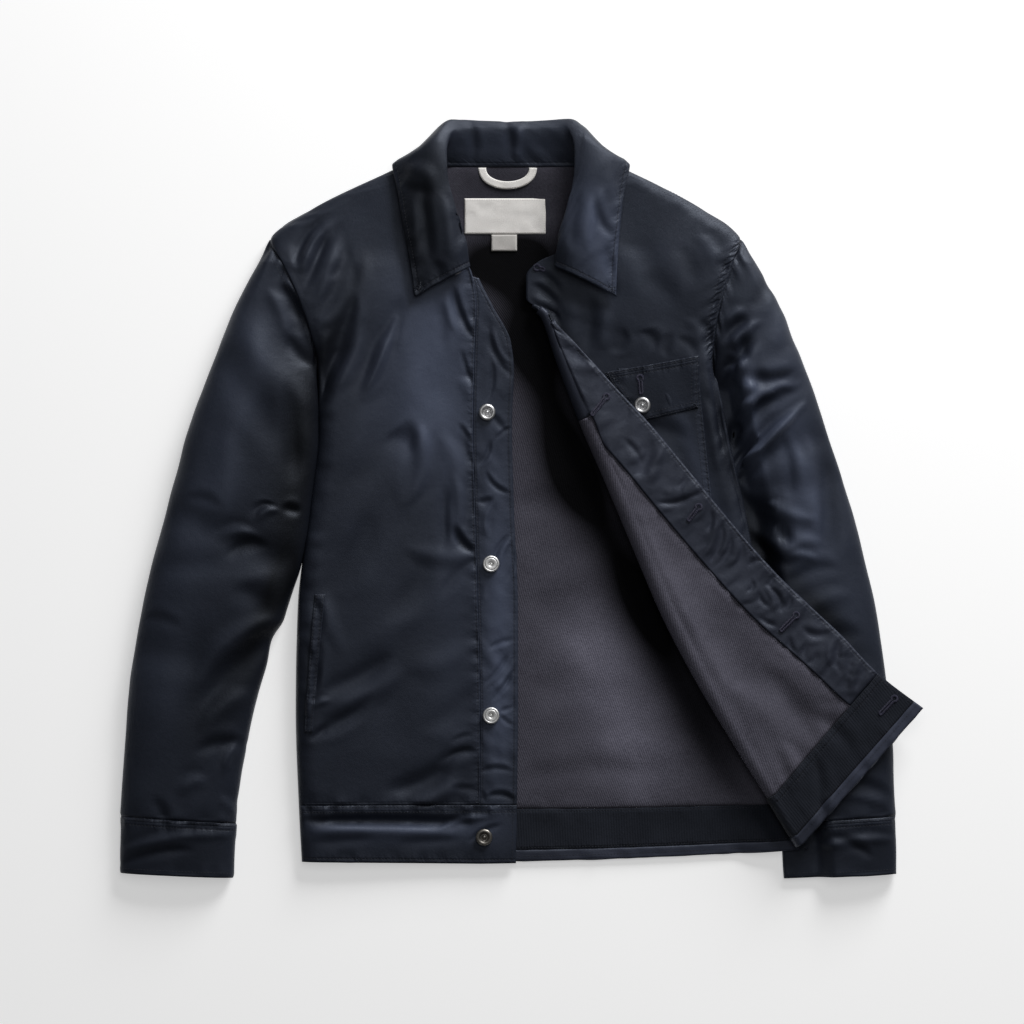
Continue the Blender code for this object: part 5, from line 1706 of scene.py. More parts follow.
def waistband_relief(at):
    """Creases along the band, puckers under its seam and along the hem."""
    height = worn(RIGHT_CREASES, at, 0.8)
    height += pulls(at, ("end_t", 4, 9, 8, 0.75, 31), ("start_t", 4, 7, 9, 0.55, 32))
    return height * held(at, start_t=2.5, end_t=1.5, start_s=8, end_s=3)


def left_front_relief(at):
    """Creases of the chest and its puckers at the armhole and yoke; smooth on the roll."""
    chest = worn(LEFT_CREASES, at, 1, 41) + pulls(at, ("start_s", 4, 13, 9, 0.8, 42))
    chest *= smooth((1.0 - at["s"]) / 0.08)
    return (chest + flap_relief(at)) * held(at, start_s=5, start_t=4)


# The left front's s at which the flap starts, just past the roll
PAST_ROLL = 2.02


def flap_relief(at):
    """What the turned-back cloth's layers share: broad creases on the flap."""
    x, y, s = at["x"], at["y"], at["s"]
    over = smooth((s - PAST_ROLL) / 0.12)
    from_edge = (3 - s) * across_lengths(at["t"])[0]
    return -(creases(FLAP_CREASES, x, y) + 0.5 * soft(x, y, 40, 51)) * over * settle(from_edge, 4)


# Grid columns of the facing and the lining that lie under the roll, before their seam
BEFORE_SEAM = 15


def facing_relief(at):
    """The facing: the flap's broad creases, its own short folds across it and light waves."""
    along, across = at["start_t"], at["end_s"]
    slanted = along - 0.5 * across + 5 * soft(across, along, 20, 60)
    waves = 0.5 * soft(slanted, 0.25 * across, 8.5, 61) + 0.25 * soft(slanted, 0.5 * across, 5.5, 62)
    waves += creases(FACING_CREASES, at["x"], at["y"])
    over = smooth((at["s"] - PAST_ROLL) / 0.1)
    from_seam = at["start_s"] - at["start_s"][:, BEFORE_SEAM:BEFORE_SEAM + 1]
    share = over * settle(from_seam, 6) * held(at, end_s=4, end_t=3)
    return flap_relief(at) - np.maximum(-0.2, 0.7 + waves) * share


def lining_relief(at):
    """The flap's lining: the flap's creases, smoother, with light puckers at its seams."""
    waves = pulls(at, ("end_s", 0, 12, 12, 0.5, 71), ("end_t", 0, 12, 14, 0.6, 72))
    waves += 0.35 * soft(at["x"], at["y"], 33, 73) + 0.12 * soft(at["x"], at["y"], 11, 74)
    share = smooth((at["s"] - PAST_ROLL) / 0.1) * held(at, end_s=9, end_t=3, start_t=3)
    return flap_relief(at) - np.maximum(-0.1, 0.3 + waves) * share


def back_lining_relief(at):
    """The back's lining lies nearly flat: long low swells, and puckers above the hem facing."""
    x, y = at["x"], at["y"]
    height = 0.6 + creases(BACK_CREASES, x, y) + 0.4 * soft(x, y, 44, 81) + 0.12 * soft(x, y, 14, 82)
    height += pulls(at, ("start_t", 0, 12, 13, 0.5, 83)) + puckers(x + 30, y, 9, 14, 0.25, 84)
    return -np.maximum(0, height) * held(at, start_t=4, end_t=6, start_s=12, end_s=12)


def pocket_relief(at):
    """Patch pocket: puckered inside its edges, swelling a little in the middle."""
    height = 0.6 + creases(LEFT_CREASES, at["x"], at["y"]) + 0.6 * unevenness(at, 1, 93)
    height += pulls(at, ("end_s", 4, 8, 8, 0.5, 91), ("end_t", 4, 8, 8, 0.5, 92))
    return np.maximum(-0.3, height) * held(at, start_s=8, end_s=8, start_t=6, end_t=8)


def pocket_flap_relief(at):
    """Pocket flap: flat, with a raised seam all round and light puckers along it."""
    height = 0.35 + 0.5 * unevenness(at, 1, 98)
    height += pulls(
        at, ("end_s", 4, 7, 8, 0.4, 95), ("end_t", 4, 7, 9, 0.4, 96), ("start_t", 4, 6, 8, 0.5, 97)
    )
    return height * held(at, start_s=3, end_s=3, end_t=3)


def sleeve_relief(rows, seed):
    """A sleeve's relief function: its creases, and puckers below the armhole and above the cuff."""

    def relief(at):
        """The sleeve's height over its form."""
        height = worn(rows, at, 1.1, seed)
        height += pulls(at, ("start_t", 4, 12, 7.5, 0.8, seed + 5), ("end_t", 0, 12, 10, 0.8, seed + 6))
        return height * held(at, start_t=3, end_t=2.5, start_s=14, end_s=14)

    return relief


def cuff_relief(rows, seed):
    """A cuff's relief function: creases, and puckers along both of its edges."""

    def relief(at):
        """The cuff's height over its form."""
        height = worn(rows, at, 0.9, seed)
        height += pulls(at, ("start_t", 4, 9, 8, 0.6, seed + 5), ("end_t", 4, 8, 9, 0.4, seed + 6))
        return height * held(at, start_t=2, end_t=2.5, start_s=14, end_s=14)

    return relief


def collar_relief(at):
    """The collar's folds, puckers inside its edge and round the neck seam, and a fine crackle."""
    height = worn(COLLAR_CREASES, at, 0.8, 111)
    height += pulls(at, ("end_s", 5, 9, 10, 0.6, 112), ("start_s", 0, 10, 12, 0.5, 113))
    height += 0.3 * soft(at["start_t"], 0.3 * at["start_s"], 13, 114)
    return height * held(at, start_s=5, end_s=4, start_t=4, end_t=4)


def hem_relief(at):
    """Corduroy or shell turned up inside the hem: light waves between its sewn lines."""
    waves = pulls(at, ("start_t", 3, 9, 12, 0.35, 121), ("end_t", 2, 8, 10, 0.35, 122))
    waves += 0.2 * soft(at["x"], at["y"], 16, 123)
    past_roll = smooth((at["s"] - PAST_ROLL) / 0.1)
    over = np.where(at["s"] > 2.1, past_roll, np.where(at["s"] < 2, 1, 0))
    return -np.maximum(0, 0.25 + waves) * over * held(at, start_t=2, end_t=2, end_s=3, start_s=8)


def flap_hem_relief(at):
    """The hem's facing on the flap: the flap's creases with light waves between the sewn lines."""
    return flap_relief(at) + hem_relief(at)


def welt_relief(at):
    """The welt follows the front's own creases and swells between its two sewn edges."""
    swell = 0.3 + pulls(at, ("start_s", 2, 5, 8, 0.4, 36))
    return worn(RIGHT_CREASES, at) + swell * held(at, start_s=2, end_s=2, start_t=4, end_t=4)


# ---------------------------------------------------------------- the jacket's pieces

EDGES = ("start_s", "end_s", "start_t", "end_t")

# Shares of the right front's and the back's length: the waistband's seam, half the gap there, the
# placket's upper end and the right front's
WAIST_SEAM = 0.08
HALF_GAP = 0.0002
PLACKET_END = 0.82
FRONT_END = 0.985

# The waistband's depth in millimetres
BAND_DEPTH = 56

# The right welt pocket's ends, as shares of the right front's length
WELT_BOTTOM = 0.175
WELT_TOP = 0.35

# Columns of the left front's roll, of its flap, and of the layers inside the roll
ROLL_COLUMNS = (1.1, 2, 12)
FLAP_COLUMNS = ((PAST_ROLL, 2.2, 6), (2.2, 3, 22))
FACING_COLUMNS = 26
LINING_COLUMNS = 84

# A sleeve's cuff seam leaves this much of its length open to each side; a cuff ends at CUFF_END
CUFF_GAP = 0.0003
CUFF_END = 1.12
UNDER_SEAM_GAP = 0.0005


def spaced(*stretches):
    """Grid lines: stretches of (start, end, count), joined end to end without repeats."""
    lines = [np.linspace(start, end, count, endpoint=False) for start, end, count in stretches]
    return np.concatenate(lines + [[stretches[-1][1]]])


def make_back():
    """Shell and waistband seen past the fronts, lining, corduroy hem facing and turned-in hem."""
    above, below = WAIST_SEAM + HALF_GAP, WAIST_SEAM - HALF_GAP
    across = spaced((0, 1, 10), (1, 1.06, 6), (1.06, 1.94, 50), (1.94, 2, 6), (2, 3, 10))
    dress("back", back_panel, spaced((above, 0.62, 70), (0.62, 1, 60)), across, 1)
    dress("back_waistband", back_panel, spaced((0, below, 16)), across, 1)
    lined = spaced((0.9, 1.06, 8), (1.06, 1.97, 104), (1.97, 2.1, 6))
    turn = HEM_TURN_IN / BAND_DEPTH * WAIST_SEAM
    lining_rows = spaced((above, 0.62, 140), (0.62, 0.999, 60))
    facing_rows = spaced((turn + 2 * HALF_GAP, below, 20))
    sewn_edges = (("end_t", 2.0, 1.0), ("start_t", 2.0, 1.0))
    lining, facing, strip = (
        dress(
            name, back_panel, rows, lined, 1, relief, thickness, finish, -(SHELL + LAYER_GAP), sewn=sewn
        )
        for name, rows, relief, thickness, finish, sewn in (
            ("back_lining", lining_rows, back_lining_relief, LINING, "lining", ()),
            ("back_hem_facing", facing_rows, hem_relief, CORDUROY, "corduroy", sewn_edges),
            ("back_hem_turn_in", spaced((0, turn, 6)), hem_relief, SHELL, "waxed_facing", ()),
        )
    )
    runs = lines_on(facing, ("end_t", 2.0), ("start_t", 2.0), face="inner")
    runs += lines_on(strip, ("start_t", 5.0), face="inner") + lines_on(lining, ("start_t", 2.0), face="inner")
    sew("back_hem_stitches", runs)


def make_right_front():
    """Right front with its placket, waistband and welt pocket."""
    above, below = WAIST_SEAM + HALF_GAP, WAIST_SEAM - HALF_GAP
    across = spaced((0, 0.06, 10), (0.06, 0.94, 72), (0.94, 1, 8))
    front = dress(
        "right_front", right_front, spaced((above, FRONT_END, 290)), across, -1, right_front_relief,
        sewn=(("end_s", 2.0, 1.0), ("start_t", 2.5, 0.6)),
    )
    placket = dress(
        "right_placket", right_front, spaced((above, PLACKET_END, 310)), spaced((1, 2, 26)), -1,
        placket_relief, sewn=(("start_s", 2.0, 0.4), ("end_s", 4.0, 0.4)),
    )
    over_both = np.concatenate([across[:-1], spaced((1, 2, 16))])
    band = dress(
        "right_waistband", right_front, spaced((0, below, 30)), over_both, -1, waistband_relief,
        sewn=(("end_t", 1.5, 1.0), ("end_t", 7.0, 1.0), ("start_t", 4.0, 1.0)),
    )
    t, share = np.meshgrid(spaced((WELT_BOTTOM, WELT_TOP, 96)), spaced((0, 1, 12)), indexing="ij")
    slant = (t - WELT_BOTTOM) / (WELT_TOP - WELT_BOTTOM)
    s = 0.05 + 0.045 * slant + (0.045 + 0.012 * slant) * share
    welt = dress(
        "right_welt_pocket", right_front, t, s, -1, welt_relief, 0.9, out=1.1,
        sewn=(("start_s", 1.8, 1.0), ("end_s", 1.8, 0.8)),
    )
    runs = lines_on(front, ("end_s", 2.2)) + lines_on(placket, ("start_s", 2.0), ("end_s", 4.0))
    runs += lines_on(band, ("end_t", 1.5), ("end_t", 7.0), ("start_t", 4.0), ("end_s", 4.0))
    runs += lines_on(front, ("end_t", 2.0), ("end_t", 8.0))
    runs += lines_on(welt, ("start_s", 1.8), ("end_s", 1.8), ("start_t", 2.0), ("end_t", 2.0))
    sew("right_front_stitches", runs)


def flap_grid(rows, inside, turned):
    """t and s of a layer inside the roll, and the number of each column past its last one there."""
    t, column = np.meshgrid(rows, np.arange(len(inside) + turned), indexing="ij")
    return t, inside[np.minimum(column, len(inside) - 1)], column - len(inside) + 1


def make_left_front():
    """Left front: lower layer, roll and turned-back part, with what is sewn to it."""
    last_row = BAND_START - 1.5 * HALF_SEAM
    rows = spaced(
        (0.015, ROLL_START, 110), (ROLL_START, FACING_SPLIT, 40), (FACING_SPLIT, 0.62, 40),
        (0.62, last_row, 50),
    )
    lower = spaced((0, 0.06, 9), (0.06, 0.92, 62), (0.92, 1, 6))
    roll, flap = spaced(ROLL_COLUMNS), spaced(*FLAP_COLUMNS)
    t, s = np.meshgrid(rows, np.concatenate([lower, roll, flap]), indexing="ij")
    keep = (t >= FIRST_ROLL + 0.02) | (s <= 1)
    yoke = np.where((t > 0.14) & (t < 0.315), 4.0, 0.0)
    front = dress(
        "left_front", left_front, t, s, -1, left_front_relief, keep=keep, sewn=(("start_s", 5.0, yoke),)
    )
    facing_band = spaced((BAND_START + HALF_SEAM, TURN_IN_START - 2 * HALF_SEAM, 20))
    turn_in = spaced((TURN_IN_START, 1, 6))
    band_across = np.concatenate([spaced((0, 0.06, 5), (0.06, 1, 20)), roll, flap])
    band_rows = np.concatenate([facing_band[:-1], turn_in])
    dress("left_waistband", left_front, band_rows, band_across, -1, left_front_relief)

    behind = -(SHELL + FLAP_GAP)
    inside = np.concatenate([spaced((0.82, 1, 4)), roll])
    rows = spaced((0.305, FACING_SPLIT, 56), (FACING_SPLIT, last_row, 190))
    t, s, past_roll = flap_grid(rows, inside, FACING_COLUMNS)
    seam = np.maximum(2, share_from_edge(t, read(FACING, "width", t)))
    s = np.where(past_roll >= 0, seam + (3 - seam) * past_roll / FACING_COLUMNS, s)
    keep = (t <= FACING_SPLIT + HALF_SEAM) | (past_roll >= 0)
    facing = dress(
        "left_facing", left_front, t, s, -1, facing_relief, LINING, "waxed_facing", behind, keep,
        sewn=(("end_s", 3.0, 1.0),),
    )

    rows = spaced((FACING_SPLIT + 2 * HALF_SEAM, last_row, 200))
    t, s, past_roll = flap_grid(rows, inside, LINING_COLUMNS)
    seam = share_from_edge(t, read(FACING, "width", t) + SEAM_GAP)
    s = s + (seam - 2) * np.maximum(0, past_roll) / LINING_COLUMNS
    lining = dress(
        "left_lining", left_front, t, s, -1, lining_relief, LINING, "lining", behind,
        sewn=(("end_s", 2.0, 0.7),),
    )

    inner = np.concatenate([inside, spaced((PAST_ROLL, 3, 96))])
    hem = dress(
        "left_hem_facing", left_front, facing_band, inner, -1, flap_hem_relief, CORDUROY, "corduroy",
        behind, sewn=(("start_t", 2.0, 1.0), ("start_t", 7.0, 0.8)),
    )
    strip = dress(
        "left_hem_turn_in", left_front, turn_in, inner, -1, flap_hem_relief, SHELL, "waxed_facing", behind
    )
    runs = lines_on(facing, ("end_s", 3.0), face="inner")
    runs += lines_on(hem, ("start_t", 2.0), ("start_t", 7.0), face="inner")
    runs += lines_on(strip, ("start_t", 4.0), face="inner") + lines_on(hem, ("end_s", 3.0), face="inner")
    sew("left_facing_stitches", runs + lines_on(lining, ("end_s", 2.0), face="inner"))
    sew("left_front_stitches", lines_on(front, ("start_s", 2.0), ("start_s", 8.5)))
    return front, facing, hem


def make_chest_pocket():
    """Patch pocket and its flap on the left front's lower layer."""
    t, s = pocket_grid((98, 130), (178, 130), (195, -30), (148, -34), 80, 44)
    pocket = dress(
        "chest_pocket", left_front, t, s, -1, pocket_relief, out=POCKET_OUT,
        sewn=(("start_s", 2.0, 1.0), ("end_s", 2.0, 1.0), ("end_t", 2.0, 1.0)),
    )
    t, s = pocket_grid((85, 126), (178, 142), (179, 90), (118, 76), 34, 52)
    places = (("start_t", 2.0), ("start_t", 7.0), ("start_s", 2.0), ("end_s", 2.0), ("end_t", 2.0))
    flap = dress(
        "chest_pocket_flap", left_front, t, s, -1, pocket_flap_relief, out=2 * POCKET_OUT,
        sewn=[(*place, 1.0) for place in places],
    )
    runs = lines_on(pocket, *((edge, at) for edge in ("start_s", "end_s", "end_t") for at in (2.0, 7.0)))
    runs += lines_on(flap, *((edge, at) for edge in EDGES for at in (2.0, 7.0)))
    sew("chest_pocket_stitches", runs)
    return flap


def make_sleeve(side, surface, sign, rows_of_creases, seed):
    """Top sleeve, under sleeve and the two halves of the cuff."""
    rows = spaced((0, 1 - CUFF_GAP, 258))
    cuff_rows = spaced((1 + CUFF_GAP, CUFF_END, 30))
    top = spaced(
        (-UNDER_SEAM, 0, 8), (0, 0.12, 10), (0.12, 0.88, 52), (0.88, 1, 10), (1, 1 + UNDER_SEAM, 8)
    )
    under = spaced((1 + UNDER_SEAM + UNDER_SEAM_GAP, 2 - UNDER_SEAM - UNDER_SEAM_GAP, 24))
    sleeve = dress(
        side + "_top_sleeve", surface, rows, top, sign, sleeve_relief(rows_of_creases, seed),
        sewn=(("start_t", 1.5, 1.0),),
    )
    dress(side + "_under_sleeve", surface, rows[::3], under, sign)
    cuff = dress(
        side + "_cuff_top", surface, cuff_rows, top, sign, cuff_relief(rows_of_creases, seed),
        sewn=(("start_t", 1.5, 1.0), ("start_t", 7.0, 1.0)),
    )
    dress(side + "_cuff_under", surface, cuff_rows[::3], under, sign)
    runs = lines_on(sleeve, ("start_t", 2.0), ("start_t", 8.0))
    runs += lines_on(cuff, ("start_t", 1.5), ("start_t", 7.0), ("end_t", 5.0))
    sew(side + "_sleeve_stitches", runs)


def make_collar():
    """Stand and fall, rolled over at the top of the stand."""
    made = dress(
        "collar", collar, spaced((0, 1, 230)), spaced((-0.025, 0.3, 18), (0.3, 0.5, 20), (0.5, 1, 34)), 1,
        collar_relief, COLLAR,
        sewn=(("end_s", 5.0, 1.0), ("start_s", 4.0, 0.8), ("start_t", 5.0, 1.0), ("end_t", 5.0, 1.0)),
    )
    sew("collar_stitches", lines_on(made, ("end_s", 5.0), ("start_t", 5.0), ("end_t", 5.0)))


def plate(across, up, top):
    """A flat rectangular surface: t runs up its y, s across its x, at the height top."""

    def surface(t, s):
        """The plate's points."""
        x = across[0] + (across[1] - across[0]) * s
        y = up[0] + (up[1] - up[0]) * t
        return np.stack([x, y, np.full_like(x, top)], -1)

    return surface


def loop_path(t):
    """Middle line of the hanger loop: an arch that hangs down, a little higher in the middle."""
    turn = np.clip(t, 0, 1) * math.pi
    x = LOOP_X - LOOP_HALF * np.cos(turn)
    y = LOOP_Y - LOOP_DROP * np.abs(np.sin(turn)) ** 0.8
    return np.stack([x, y, ON_LINING + 1.2 * np.sin(turn)], -1)


# The hanger loop's middle, half its length across, its drop and its ends' height up the back
LOOP_X, LOOP_HALF, LOOP_DROP, LOOP_Y = -12.5, 25.5, 19.0, 333.0
LOOP_WIDTH = 8.0

# The upper face of what is sewn on the back lining
ON_LINING = SHELL + 2 * LAYER_GAP + LINING + TAPE


def hanger_loop(t, s):
    """A tape 8 wide along the loop's middle line: t along it, s across it."""
    step = 0.004
    along = loop_path(t + step) - loop_path(t - step)
    along = along / np.linalg.norm(along, axis=-1, keepdims=True)
    side = np.stack([along[..., 1], -along[..., 0], np.zeros_like(t)], -1)
    return loop_path(t) + side * ((s - 0.5) * LOOP_WIDTH)[..., None]


def tape_relief(at):
    """Tape: a thin rounded edge, and low waves where it is sewn down."""
    edge = held(at, start_s=1.2, end_s=1.2, start_t=1.2, end_t=1.2)
    return 0.3 * edge * (1 + 0.5 * soft(at["x"], at["y"], 9, 131)) - 0.2 * (1 - edge)


def make_label():
    """Woven label and size tab, both bare, sewn flat on the lining, and the loop above them."""
    top = ON_LINING - 0.1
    face, tab = plate((-56, 26), (265, 301), top), plate((-29, -3), (248, 264.6), top)
    label = dress("label", face, spaced((0, 1, 30)), spaced((0, 1, 60)), -1, tape_relief, 0.9, "tape")
    dress("size_tab", tab, spaced((0, 1, 16)), spaced((0, 1, 24)), -1, tape_relief, 0.9, "tab_tape")
    rows = spaced((0.01, 0.99, 90))
    loop = dress("hanger_loop", hanger_loop, rows, spaced((0, 1, 10)), -1, tape_relief, 1.0, "tape")
    runs = lines_on(label, *((edge, 1.6) for edge in EDGES))
    runs += lines_on(loop, ("start_s", 1.2), ("end_s", 1.2))
    sew("label_stitches", runs, "cream_thread", 2.4, 0.9, 0.16)


# Shares of a button's radius and height, from its middle over the rim to the shank's foot: one
# has a thick rounded rim about a sunk ring and a dome, the other a flat face with a small pit
RIM_BUTTON = (
    (0.0, 0.86), (0.08, 0.85), (0.15, 0.80), (0.20, 0.70), (0.23, 0.55), (0.27, 0.42), (0.36, 0.38),
    (0.44, 0.42), (0.49, 0.55), (0.53, 0.74), (0.59, 0.88), (0.67, 0.97), (0.76, 1.0), (0.86, 0.95),
    (0.94, 0.84), (0.99, 0.70), (1.0, 0.60), (0.985, 0.50), (0.95, 0.43), (0.88, 0.38), (0.60, 0.33),
    (0.46, 0.30), (0.42, 0.2), (0.40, 0.0), (0.2, 0.0), (0.0, 0.0),
)
FLAT_BUTTON = (
    (0.0, 0.84), (0.07, 0.82), (0.12, 0.74), (0.14, 0.56), (0.17, 0.46), (0.21, 0.50), (0.24, 0.72),
    (0.28, 0.88), (0.36, 0.93), (0.60, 0.95), (0.70, 0.95), (0.725, 0.87), (0.75, 0.95), (0.86, 0.97),
    (0.93, 0.92), (0.98, 0.80), (1.0, 0.66), (0.985, 0.54), (0.95, 0.45), (0.88, 0.38), (0.60, 0.33),
    (0.46, 0.30), (0.42, 0.2), (0.40, 0.0), (0.2, 0.0), (0.0, 0.0),
)


# How many sides a button's turned outline has
BUTTON_SIDES = 56


def make_button(name, place, normal, finish, face=RIM_BUTTON):
    """A shank button: its profile turned about the axis that stands on the cloth."""
    radius, height = np.array(face).T * np.array([[BUTTON_RADIUS], [BUTTON_HEIGHT]])
    turn = np.linspace(0, 2 * math.pi, BUTTON_SIDES, endpoint=False)
    side = np.cross(normal, [0.0, 1.0, 0.0])
    side /= np.linalg.norm(side)
    other = np.cross(normal, side)
    ring = np.cos(turn)[:, None] * side + np.sin(turn)[:, None] * other
    body = radius[1:-1]
    points = place + normal * height[1:-1, None, None] + ring[None] * body[:, None, None]
    rows, columns = points.shape[:2]
    first = (np.arange(rows - 1)[:, None] * columns + np.arange(columns)).reshape(-1)
    beside = (np.arange(rows - 1)[:, None] * columns + (np.arange(columns) + 1) % columns).reshape(-1)
    sides = np.stack([first, first + columns, beside + columns, beside], -1).tolist()
    caps = [list(range(columns)), list(range(rows * columns - 1, (rows - 1) * columns - 1, -1))]
    enter(build_mesh(name + "_metal", points, sides + caps, finish), name)


def stand_on(surface, guess, out):
    """The point at a distance out from a surface, and its normal, from x, y and a guess of t, s."""
    t, s = find_on(surface, *guess)
    normal = outward(surface, t, s, -1)[0]
    return surface(t, s)[0] + normal * out, normal


def make_buttons():
    """Five buttons down the right front and one on the chest pocket's flap."""
    places = (
        (-65, 231.5, 0.84, 0.9, "nickel"),
        (-33, 86, 0.6, 1.4, "nickel"),
        (-29, -66, 0.4, 1.4, "bright"),
        (-29, -218, 0.2, 1.4, "bright"),
        (-36, -340, 0.04, 1.2, "antique"),
    )
    for number, (*guess, finish) in enumerate(places, 1):
        face = FLAT_BUTTON if finish == "bright" else RIM_BUTTON
        make_button(f"button_{number}", *stand_on(right_front, guess, LAYER_GAP), finish, face)
    on_pocket = stand_on(left_front, (123, 93, 0.4, 0.6), 2 * POCKET_OUT + LAYER_GAP)
    make_button("pocket_button", *on_pocket, "nickel")


def lie_on(sheet, x, y, place):
    """Height and normal over plan points, from a curved surface fitted to the sheet near a place."""
    points = sheet["points"].reshape(-1, 3)
    near = points[np.hypot(points[:, 0] - place[0], points[:, 1] - place[1]) < 16]
    near = near[near[:, 2] > near[:, 2].max() - 9]

    def terms(u, v):
        """The terms of a quadratic in the place, in centimetres."""
        u, v = (u - place[0]) / 10, (v - place[1]) / 10
        return np.stack([np.ones_like(u), u, v, u * u, u * v, v * v], -1)

    fit = np.linalg.lstsq(terms(near[:, 0], near[:, 1]), near[:, 2], rcond=None)[0]
    z = terms(x, y) @ fit
    step = 0.1
    slope = np.stack([terms(x + step, y) @ fit - z, terms(x, y + step) @ fit - z], -1) / step
    normal = np.concatenate([-slope, np.ones_like(z)[:, None]], -1)
    normal /= np.linalg.norm(normal, axis=-1, keepdims=True)
    return np.stack([x, y, z], -1), normal


# A buttonhole: its stitches' width, its eyelet's radius and half its slit's width
HOLE_STITCH = 2.3
EYELET = 2.9
HALF_SLIT = 0.58 * HOLE_STITCH
# Points over the arch of one stitch, points round its thread, and the thread's radius
ARCH, ROUND, THREAD = 7, 5, 0.26


def make_buttonhole(name, sheet, eye, tail, rise):
    """A keyhole buttonhole: close stitches all round a slit that opens into an eyelet."""
    eye, tail = np.array(eye, float), np.array(tail, float)
    length = np.linalg.norm(tail - eye)
    along = (tail - eye) / length
    side = np.array([-along[1], along[0]])
    open_turn = math.asin(HALF_SLIT / EYELET)
    turn = np.linspace(open_turn, 2 * math.pi - open_turn, 26)
    stem = np.linspace(EYELET * math.cos(open_turn), length, 40)
    wall = np.full(40, HALF_SLIT)
    far = np.linspace(HALF_SLIT, -HALF_SLIT, 6)[1:-1]
    reach = np.concatenate([stem[::-1], EYELET * np.cos(turn)[1:-1], stem, np.full(4, length + 0.5)])
    over = np.concatenate([wall, EYELET * np.sin(turn)[1:-1], -wall, far])
    plan = eye + reach[:, None] * along + over[:, None] * side
    step = np.roll(plan, -1, axis=0) - np.roll(plan, 1, axis=0)
    size = np.linalg.norm(step, axis=-1, keepdims=True)
    cross = np.stack([step[:, 1], -step[:, 0]], -1) / size
    runs = []
    for start in (-0.5, 0.5):
        edge = plan + cross * (start * HOLE_STITCH)
        runs.append(lie_on(sheet, edge[:, 0], edge[:, 1], tuple((eye + tail) / 2)))
    count = len(plan)
    bend = np.linspace(0, math.pi, ARCH)
    share = (1 - np.cos(bend)) / 2
    (inner, up), (outer, _) = runs
    middle = inner[:, None] + (outer - inner)[:, None] * share[None, :, None]
    middle = middle + up[:, None] * (rise + 0.55 * np.sin(bend))[None, :, None]
    wide = size / 2 * 0.44
    along = np.concatenate([step / size, np.zeros((count, 1))], -1)
    tube = np.linspace(0, 2 * math.pi, ROUND, endpoint=False)
    points = (
        middle[:, :, None]
        + along[:, None, None] * (np.cos(tube)[:, None] * wide[:, None, None])
        + up[:, None, None] * (np.sin(tube)[:, None] * THREAD)
    )
    ring = (np.arange(count)[:, None, None] * ARCH + np.arange(ARCH - 1)[:, None]) * ROUND
    start, beside = ring + np.arange(ROUND), ring + (np.arange(ROUND) + 1) % ROUND
    sides = np.stack([start, beside, beside + ROUND, start + ROUND], -1).reshape(-1, 4).tolist()
    first = (np.arange(count) * ARCH * ROUND)[:, None] + np.arange(ROUND)
    ends = first[:, ::-1].tolist() + (first + (ARCH - 1) * ROUND).tolist()
    enter(build_mesh(name, points, sides + ends, "plum_thread"))


def make_buttonholes(front, facing, hem, pocket_flap):
    """Five buttonholes down the turned-back front and one in the chest pocket's flap."""
    on_facing, on_hem, on_shell = LINING + 0.7, CORDUROY + 0.15, 0.2
    for name, sheet, eye, tail, rise, slot in (
        ("front_buttonhole", front, (17, 231), (24, 229), on_shell, "waxed_cotton"),
        ("facing_buttonhole_1", facing, (86, 101), (72, 83), on_facing, "waxed_cotton"),
        ("facing_buttonhole_2", facing, (178, -9), (168, -22), on_facing, "waxed_cotton"),
        ("facing_buttonhole_3", facing, (275, -117), (260, -132), on_facing, "waxed_cotton"),
        ("hem_buttonhole", hem, (373, -200), (359, -215), on_hem, "corduroy"),
        ("pocket_buttonhole", pocket_flap, (120, 120), (121, 105), on_shell, "waxed_cotton"),
    ):
        make_buttonhole(name, sheet, eye, tail, rise)


def make_jacket():
    """The whole jacket, piece by piece."""
    make_back()
    make_right_front()
    front_sheets = make_left_front()
    make_buttonholes(*front_sheets, make_chest_pocket())
    make_sleeve("right", right_sleeve, -1, RIGHT_SLEEVE_CREASES, 160)
    make_sleeve("left", left_sleeve, 1, LEFT_SLEEVE_CREASES, 140)
    make_collar()
    make_label()
    make_buttons()


# ---------------------------------------------------------------- floor, light and camera


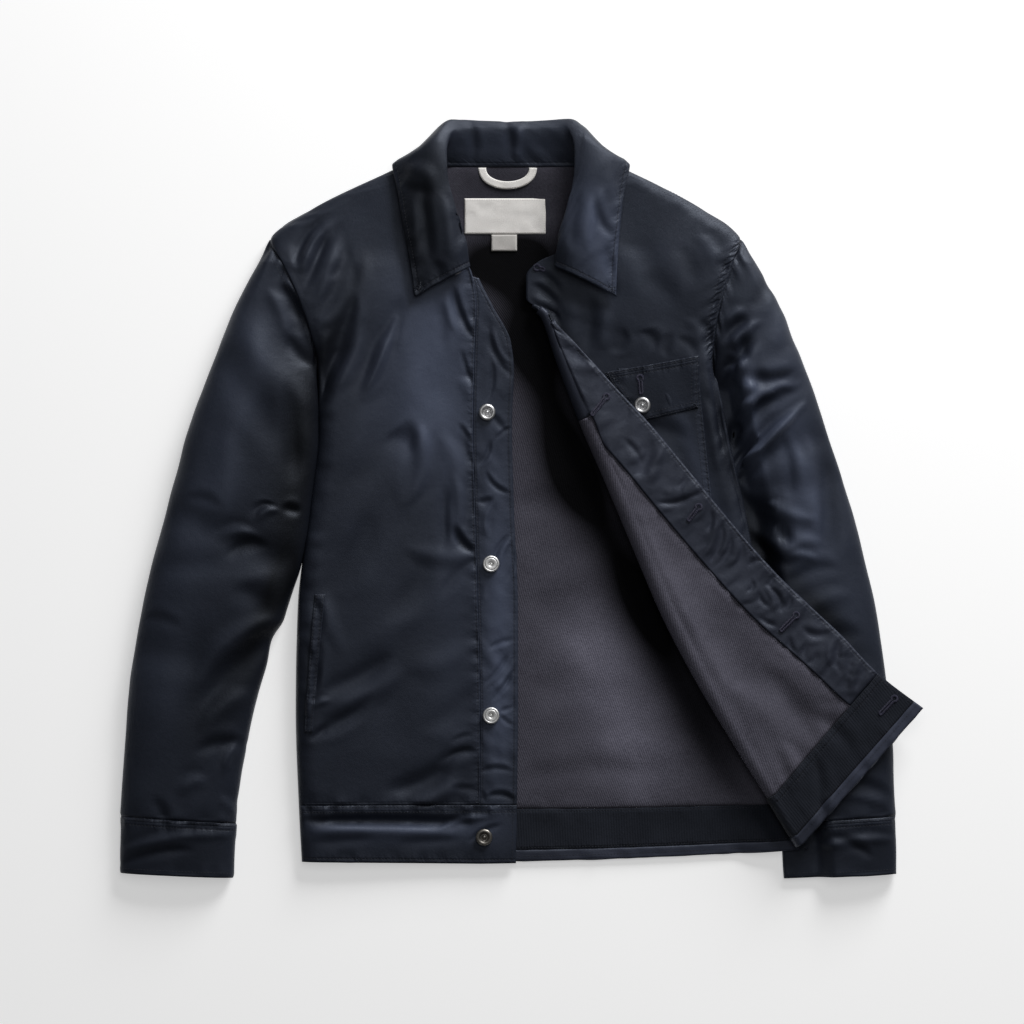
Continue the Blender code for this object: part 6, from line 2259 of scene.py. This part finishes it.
# The floor's half width and its height, just below the cloth, in metres, and how far it glows by itself
FLOOR_HALF = 6.0
FLOOR_LEVEL = -0.0006
FLOOR_GLOW = 0.45


def make_floor():
    """A wide pale floor just under the jacket, lit softly and evenly."""
    finish = Finish("floor")
    finish.set(Base_Color=(0.86, 0.86, 0.86, 1), Roughness=0.9, Specular_IOR_Level=0.1)
    finish.set(Emission_Color=(1, 1, 1, 1), Emission_Strength=FLOOR_GLOW)
    mesh = bpy.data.meshes.new("floor")
    half, level = FLOOR_HALF, FLOOR_LEVEL
    corners = [(-half, -half, level), (half, -half, level), (half, half, level), (-half, half, level)]
    mesh.from_pydata(corners, [], [(0, 1, 2, 3)])
    mesh.materials.append(finish.material)
    floor = bpy.data.objects.new("floor", mesh)
    bpy.context.scene.collection.objects.link(floor)


def add_light(name, place, size, power):
    """A square soft light that faces the jacket's middle."""
    light = bpy.data.lights.new(name, "AREA")
    light.size, light.energy = size, power
    lamp = bpy.data.objects.new(name, light)
    lamp.location = place
    x, y, z = place
    lamp.rotation_euler = (math.atan2(math.hypot(x, y), z), 0, math.atan2(x, -y))
    bpy.context.scene.collection.objects.link(lamp)


# How bright the pale surround is
SURROUND = 0.065


def make_light():
    """A low soft key from the upper right, a wide one overhead and a pale surround."""
    add_light("key", (1.25, 2.5, 1.1), 1.35, 97)
    add_light("overhead", (0.3, 0.9, 2.6), 1.6, 10.5)
    world = bpy.data.worlds.new("surround")
    world.use_nodes = True
    background = world.node_tree.nodes["Background"].inputs
    background["Color"].default_value = (1, 1, 1, 1)
    background["Strength"].default_value = SURROUND
    bpy.context.scene.world = world
    bpy.context.scene.view_settings.view_transform = "Standard"


# Over the middle of the jacket's outline, in metres
CAMERA_PLACE = (-0.008, -0.014, 3.433)


def make_camera():
    """Straight above the jacket."""
    camera = bpy.data.cameras.new("camera")
    camera.lens, camera.sensor_width = 120, 36
    holder = bpy.data.objects.new("camera", camera)
    holder.location = CAMERA_PLACE
    bpy.context.scene.collection.objects.link(holder)
    bpy.context.scene.camera = holder


make_jacket()
make_floor()
make_light()
make_camera()
